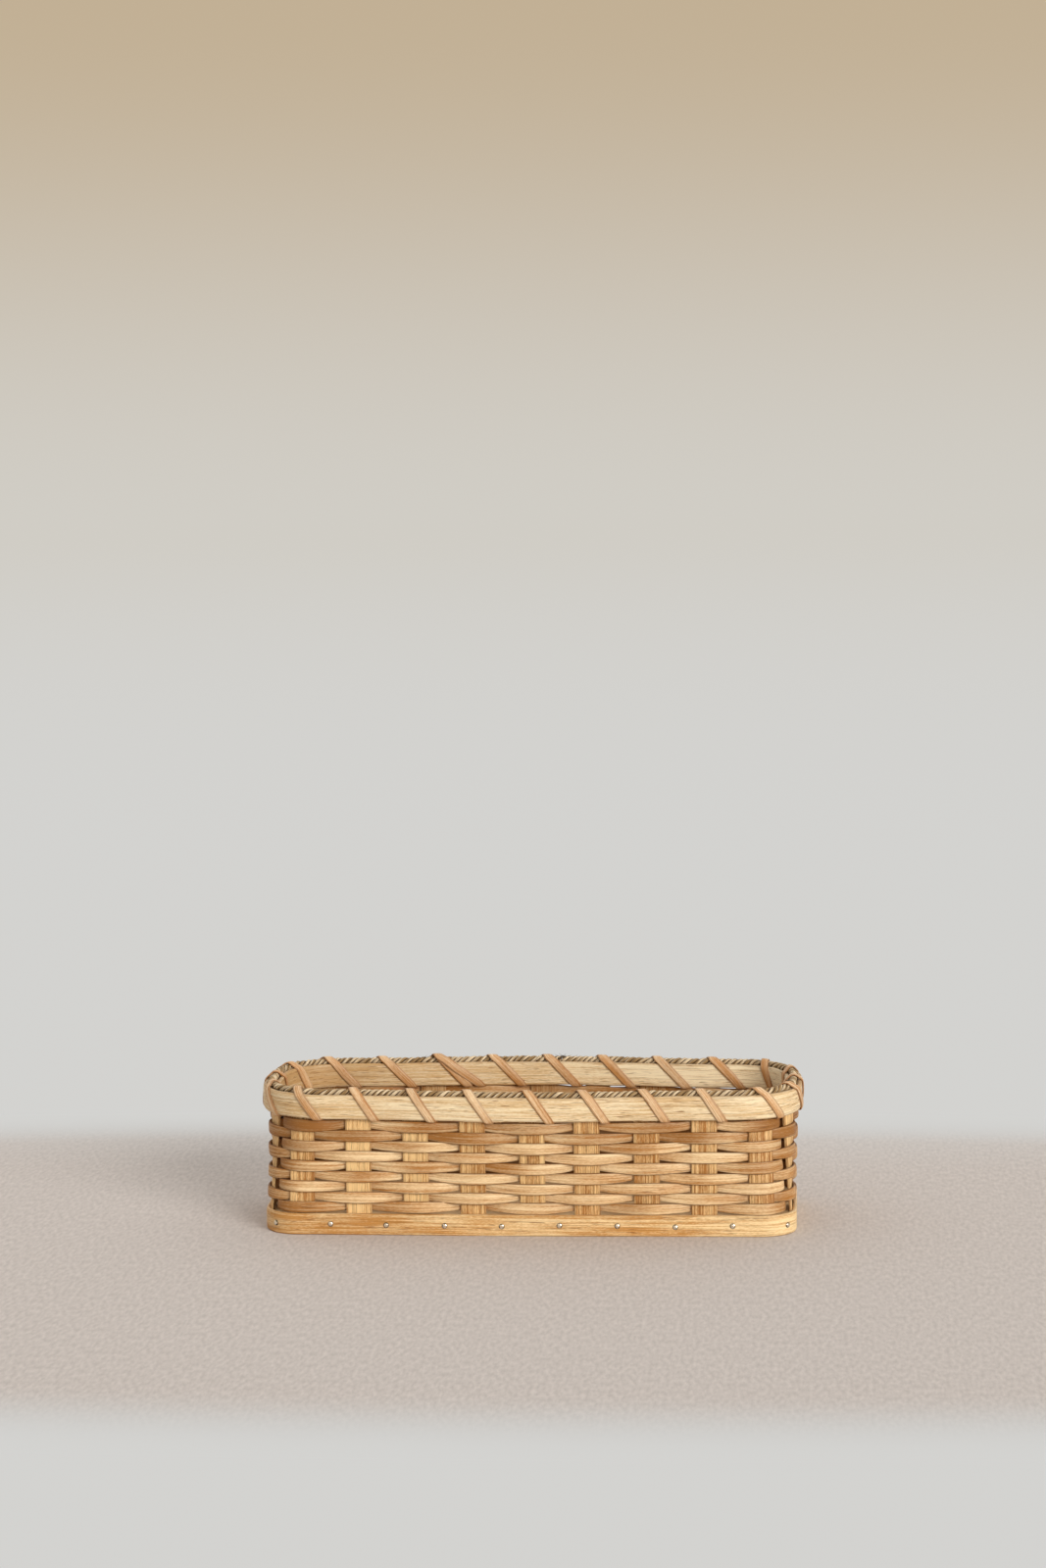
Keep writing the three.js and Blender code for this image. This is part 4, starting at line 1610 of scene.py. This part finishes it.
        offset, height = (outline[place] + lift[:, None] * normal[place]).T
        points = wall.points(stations, height, offset)
        facing = wall.outward(stations, self.top) * normal[place, 0:1] + UP * normal[place, 1:2]
        rng = random.Random(500)
        along = np.linspace(0, 1, len(points))
        half_width = self.lash_width / 2 + wander(along, 50, 0.14, rng)
        tone = wander(along, 30, 0.3, rng) - self.lash_browner * np.clip(-offset / 3, 0, 1)
        return Course(points, facing, half_width, self.lash_thickness / 2, tone=tone)

    def cord_course(self, joint: float) -> Course:
        """The line of the sea grass cord, which lies a little unevenly along the top.

        Args:
            joint: The station at which its two ends meet.

        Returns:
            The cord's course.
        """
        wall = self.bench.wall
        stations, along = wall.once_round(joint, self.cord_samples)
        rng = random.Random(600)
        height = self.cord_height + wander(along, 40, 0.18, rng)
        points = wall.points(stations, height, wander(along, 30, 0.25, rng))
        strand_radius = self.cord_diameter / 4
        return Course(points, wall.outward(stations, self.top), strand_radius, strand_radius)

    def loose_blades(self, station: float, count: int) -> list[Course]:
        """The lines of the short blades that have worked loose where the cord's ends meet.

        Args:
            station: The middle of the place that they stand up from.
            count: How many there are.

        Returns:
            Their courses.
        """
        wall = self.bench.wall
        rng = random.Random(round(1000 * station))
        t = np.linspace(0, 1, 8)
        column = t[:, None]
        blades = []
        for _ in range(count):
            place = station + rng.uniform(-0.16, 0.16)
            angle = rng.uniform(0.15, 0.85) * math.pi
            level = wall.outward(place, self.top)[0]
            away = level * math.cos(angle) + UP * math.sin(angle)
            along = np.cross(UP, level) * rng.choice((-1, 1))
            start = wall.point(place, self.cord_height, 0) + away * self.cord_diameter * 0.4
            length, lift = rng.uniform(2.5, 5.0), rng.uniform(0.1, 0.6)
            line = start + length * (column * along + lift * column ** 2 * away)
            line += 0.5 * np.sin(4 * column + rng.uniform(0, 6)) * np.cross(along, away)
            half_width, half_thickness = rng.uniform(0.35, 0.7) * (1.05 - t), 0.22 * (1.1 - t)
            blades.append(Course(line, np.tile(away, (len(t), 1)), half_width, half_thickness))
        return blades

    def build(self) -> None:
        """Makes the rim's pieces and puts each in place of its solid."""
        bench, wall = self.bench, self.bench.wall
        pale = RIM_REED.material()
        for facing, joint, node in ((Facing.OUTSIDE, wall.back + self.outer_joint, "rim_band_outer"),
                                    (Facing.INSIDE, wall.side_stakes // 2, "rim_band_inner")):
            course = self.band_course(facing, joint)
            bench.lay_reed("rim_reed_" + facing.name.lower(), [course], RIM_SECTION, pale, "rim_band", node,
                           seed=7 + facing.value, grain_start=20000 + 1000 * facing.value)

        low, high = box_mm("rim_core_row")
        hidden = replace(self.weaving, swing=self.hidden_swing, thickness=self.hidden_thickness)
        number = self.weaving.rows + 1
        course = hidden.course(number, (low.z + high.z) / 2, (high.z - low.z) / self.row_width)
        bench.lay_reed("rim_hidden_row", [course], HIDDEN_SECTION, bpy.data.materials[WEAVER_REED.name],
                       "weaver", "rim_core_row", seed=number, grain_start=31000)

        joint = wall.back + self.cord_joint
        course = self.cord_course(joint)
        cord = grow("sea_grass_cord", path_mesh("cord", [course], 0.0), bench.cord, {
            "Section Points": 14, "Strands": 3, "Lay Length": self.lay, "Flattening": 1.15, "Unevenness": 0.8,
            "Strand Radius": course.half_width * MM, "Seed": 3.0, "Material": CORD.material()})
        join_to_frame(cord, "sea_grass", "rim_filler")
        blades = [*self.loose_blades(joint, 18), *self.loose_blades(joint + 2.5, 3)]
        bench.lay_reed("sea_grass_loose_blades", blades, BLADE_SECTION, OLD_BLADES.material(),
                       "sea_grass", "rim_filler", seed=11, grain_start=7000)
        bench.lay_reed("lashing", [self.lash_course()], LASH_SECTION, LASH_REED.material(),
                       "lash", "rim_lashing", seed=12, grain_start=41000)


def convex_hull(points: Array) -> Array:
    """The convex hull of points in a plane, by Andrew's monotone chain.

    Args:
        points: The points, one in each row.

    Returns:
        The hull's points, clockwise.
    """
    order = sorted(map(tuple, np.round(points, 6)))

    def half(sequence: Sequence[tuple[float, float]]) -> list[tuple[float, float]]:
        """Finds one side of the hull.

        Args:
            sequence: The points in order.

        Returns:
            That side, from the first point to the one before the last.
        """
        chain: list[tuple[float, float]] = []
        for p in sequence:
            while len(chain) > 1 and (
                    (chain[-1][0] - chain[-2][0]) * (p[1] - chain[-2][1])
                    - (chain[-1][1] - chain[-2][1]) * (p[0] - chain[-2][0])) >= 0:
                chain.pop()
            chain.append(p)
        return chain[:-1]

    return np.array(half(order) + half(order[::-1]))


@dataclass
class Base:
    """The wooden board, the reed band round it and the nails through the band.

    Attributes:
        bench: What it is made with.
        samples: The band's sections between two stakes.
        nail_height: How high the nails stand.
        head_radius: The radius of a nail's head.
        head_height: How high its dome stands.
        head_foot: How far its head's foot goes in.
        shank_radius: The radius of its shank.
        shank_length: How far its shank goes in.
        point_length: How long its point is.
    """

    bench: Bench
    samples: int = 24
    nail_height: float = 6.5
    head_radius: float = 1.75
    head_height: float = 0.95
    head_foot: float = 0.12
    shank_radius: float = 0.6
    shank_length: float = 12.0
    point_length: float = 1.4

    def band_course(self) -> Course:
        """The line of the base band.

        Returns:
            The band's course.
        """
        wall = self.bench.wall
        low, high = box_mm("base_band")
        stations, along = wall.once_round(wall.left, self.samples)
        rng = random.Random(700)
        points = wall.points(stations, (low.z + high.z) / 2, BASE_LAYER.middle)
        half_width = (high.z - low.z) / 2 + wander(along, 9, 0.06, rng) - 0.06
        tone = wander(along, 5, 0.25, rng) + paler_right(points, 0.7)
        outward = wall.outward(stations, high.z / 2)
        return Course(points, outward, half_width, BASE_LAYER.thickness / 2, tone=tone)

    def nail_pattern(self) -> bpy.types.Object:
        """One nail along +Z, its head's foot at 0, turned from a profile.

        Returns:
            The nail, which only serves as the pattern for the others.
        """
        profile = [(0.0, -self.shank_length - 0.3), (self.shank_radius * 0.15, -self.shank_length),
                   (self.shank_radius, self.point_length - self.shank_length),
                   (self.shank_radius, -self.head_foot), (self.head_radius * 0.96, -self.head_foot)]
        profile += [(self.head_radius * math.cos(angle), self.head_height * math.sin(angle) ** 0.9)
                    for angle in np.linspace(0, math.pi / 2, 9)[:-1]]
        profile.append((0.0, self.head_height))
        mesh = turned_mesh("nail_pattern", [(radius * MM, height * MM) for radius, height in profile], 20)
        places = np.array([vertex.co for vertex in mesh.vertices]) / MM
        from_middle = np.hypot(places[:, 0], places[:, 1]) / self.head_radius
        keep_values(mesh, "edge", np.where(places[:, 2] < -1, 1.0, np.minimum(from_middle, 1.0)))
        return put_in_scene("nail_pattern", mesh)

    def nail_gaps(self) -> list[int]:
        """The stakes before the gaps that hold a nail: those beside a stake of a long side."""
        wall = self.bench.wall
        return [k for k in range(wall.stakes) if min(k % wall.back, (k + 1) % wall.back) < wall.side_stakes]

    def build(self) -> None:
        """Gives the board its wood, and makes the band and the nails in place of their solids."""
        bench = self.bench
        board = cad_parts["base_board"]
        board.data.materials.clear()
        board.data.materials.append(BOARD_WOOD.material())
        bench.lay_reed("base_reed", [self.band_course()], BASE_SECTION, BASE_REED.material(),
                       "base_band", "base_band", seed=20, grain_start=52000)

        rng = random.Random(800)
        stations, heights = np.array([
            (gap + 0.5 + rng.uniform(-0.02, 0.02), self.nail_height + rng.uniform(-0.5, 0.5))
            for gap in self.nail_gaps()]).T
        seats = bpy.data.meshes.new("nail_seats")
        seats.from_pydata((bench.wall.points(stations, heights, BASE_LAYER.face) * MM).tolist(), [], [])
        keep_values(seats, "facing", bench.wall.outward(stations, heights))
        pattern = self.nail_pattern()
        nails = grow("base_nails", seats, bench.nails, {
            "Nail": pattern, "Lean": 0.05, "Seed": 4, "Material": NAIL_STEEL.material()})
        bpy.data.objects.remove(pattern)
        per_side = len(stations) // 2
        names = [f"nail_{side}_{k + 1}" for side in ("front", "back") for k in range(per_side)]
        join_to_frame(nails, "nail", *names)


@dataclass
class Studio:
    """The floor, the light and the camera.

    Attributes:
        camera_place: The camera's place in metres.
        heading: How far it is turned to the left of +Y, in degrees.
        tilt: How far it looks down, in degrees.
        roll: How far it is turned about its own line of sight, in degrees.
        lens: Its focal length for a picture whose longer side is 36 mm.
        floor_radius: The floor's radius in metres.
        rise: How high the backdrop rises round it.
        ambient: The strength of the light from all round.
        lamps: The name, strength, softness in degrees and direction of each lamp.
    """

    camera_place: tuple[float, float, float] = (0.1663, -2.281, 0.543)
    heading: float = 4.27
    tilt: float = 6.71
    roll: float = -0.68
    lens: float = 85.0
    floor_radius: float = 14.0
    rise: float = 2.4
    ambient: float = 0.32
    lamps: tuple[tuple[str, float, float, tuple[float, float, float]], ...] = (
        ("window", 3.5, 34, (-0.6, 0.76, -0.26)), ("fill", 0.4, 100, (0.7, 0.7, -0.15)),
        ("ceiling", 1.3, 120, (0.15, -0.55, -0.75)))

    def floor(self) -> None:
        """Lays the floor, which is level as far as 0.7 of its radius and then rises like a bowl."""
        profile = [(0.0, 0.0), (2.0, 0.0)]
        profile += [(self.floor_radius * (0.7 + 0.3 * math.sin(angle)), self.rise * (1 - math.cos(angle)))
                    for angle in np.linspace(0, math.pi / 2, 13)]
        mesh = turned_mesh("floor", profile[::-1], 96)
        mesh.shade_smooth()
        mesh.materials.append(FLOOR.material())
        floor = put_in_scene("floor", mesh)

    def light(self) -> None:
        """Lights the basket softly, mostly from the right in front and a little from above and behind."""
        for name, strength, softness, direction in self.lamps:
            lamp = bpy.data.lights.new(name, "SUN")
            lamp.energy = strength
            lamp.angle = math.radians(softness)
            sun = put_in_scene(name, lamp)
            sun.rotation_euler = Vector(direction).to_track_quat("-Z", "Y").to_euler()
        world = bpy.data.worlds.new("studio")
        world.use_nodes = True
        nodes, made = Nodes(world.node_tree), world.node_tree.nodes
        nodes.fill(made["Background"], {"Color": linear("#f4f2ef"), "Strength": self.ambient})
        plain = nodes.add("ShaderNodeBackground", {"Color": linear(FLOOR.warm), "Strength": 1.0}).outputs[0]
        mixed = nodes.add("ShaderNodeMixShader", {
            0: nodes.shows_backdrop(), 1: made["Background"].outputs[0], 2: plain}).outputs[0]
        nodes.fill(made["World Output"], {"Surface": mixed})
        bpy.context.scene.world = world

    def camera(self) -> None:
        """Sets up the camera as the photograph was taken."""
        data = bpy.data.cameras.new("camera")
        data.lens = self.lens
        data.sensor_width = 36.0
        data.clip_end = 100.0
        camera = put_in_scene("camera", data)
        turn = Matrix.Rotation(math.radians(self.heading), 4, "Z")
        nod = Matrix.Rotation(math.radians(90 - self.tilt), 4, "X")
        lean = Matrix.Rotation(math.radians(self.roll), 4, "Z")
        camera.matrix_world = Matrix.Translation(self.camera_place) @ turn @ nod @ lean
        bpy.context.scene.camera = camera

    def build(self) -> None:
        """Sets up the whole studio."""
        self.camera()
        self.floor()
        self.light()
        bpy.context.scene.view_settings.view_transform = "Standard"


def main() -> None:
    """Builds the studio and the basket's sub-assemblies."""
    logging.basicConfig(level=logging.INFO, format="%(name)s: %(message)s")
    Studio().build()
    bench = Bench(measured_wall(), reed_tree(), cord_tree(), nail_tree())
    weaving = WovenWall(bench)
    for assembly in (Base(bench), StakeRing(bench), weaving, Rim(bench, weaving)):
        assembly.build()


if __name__ == "__main__":
    main()
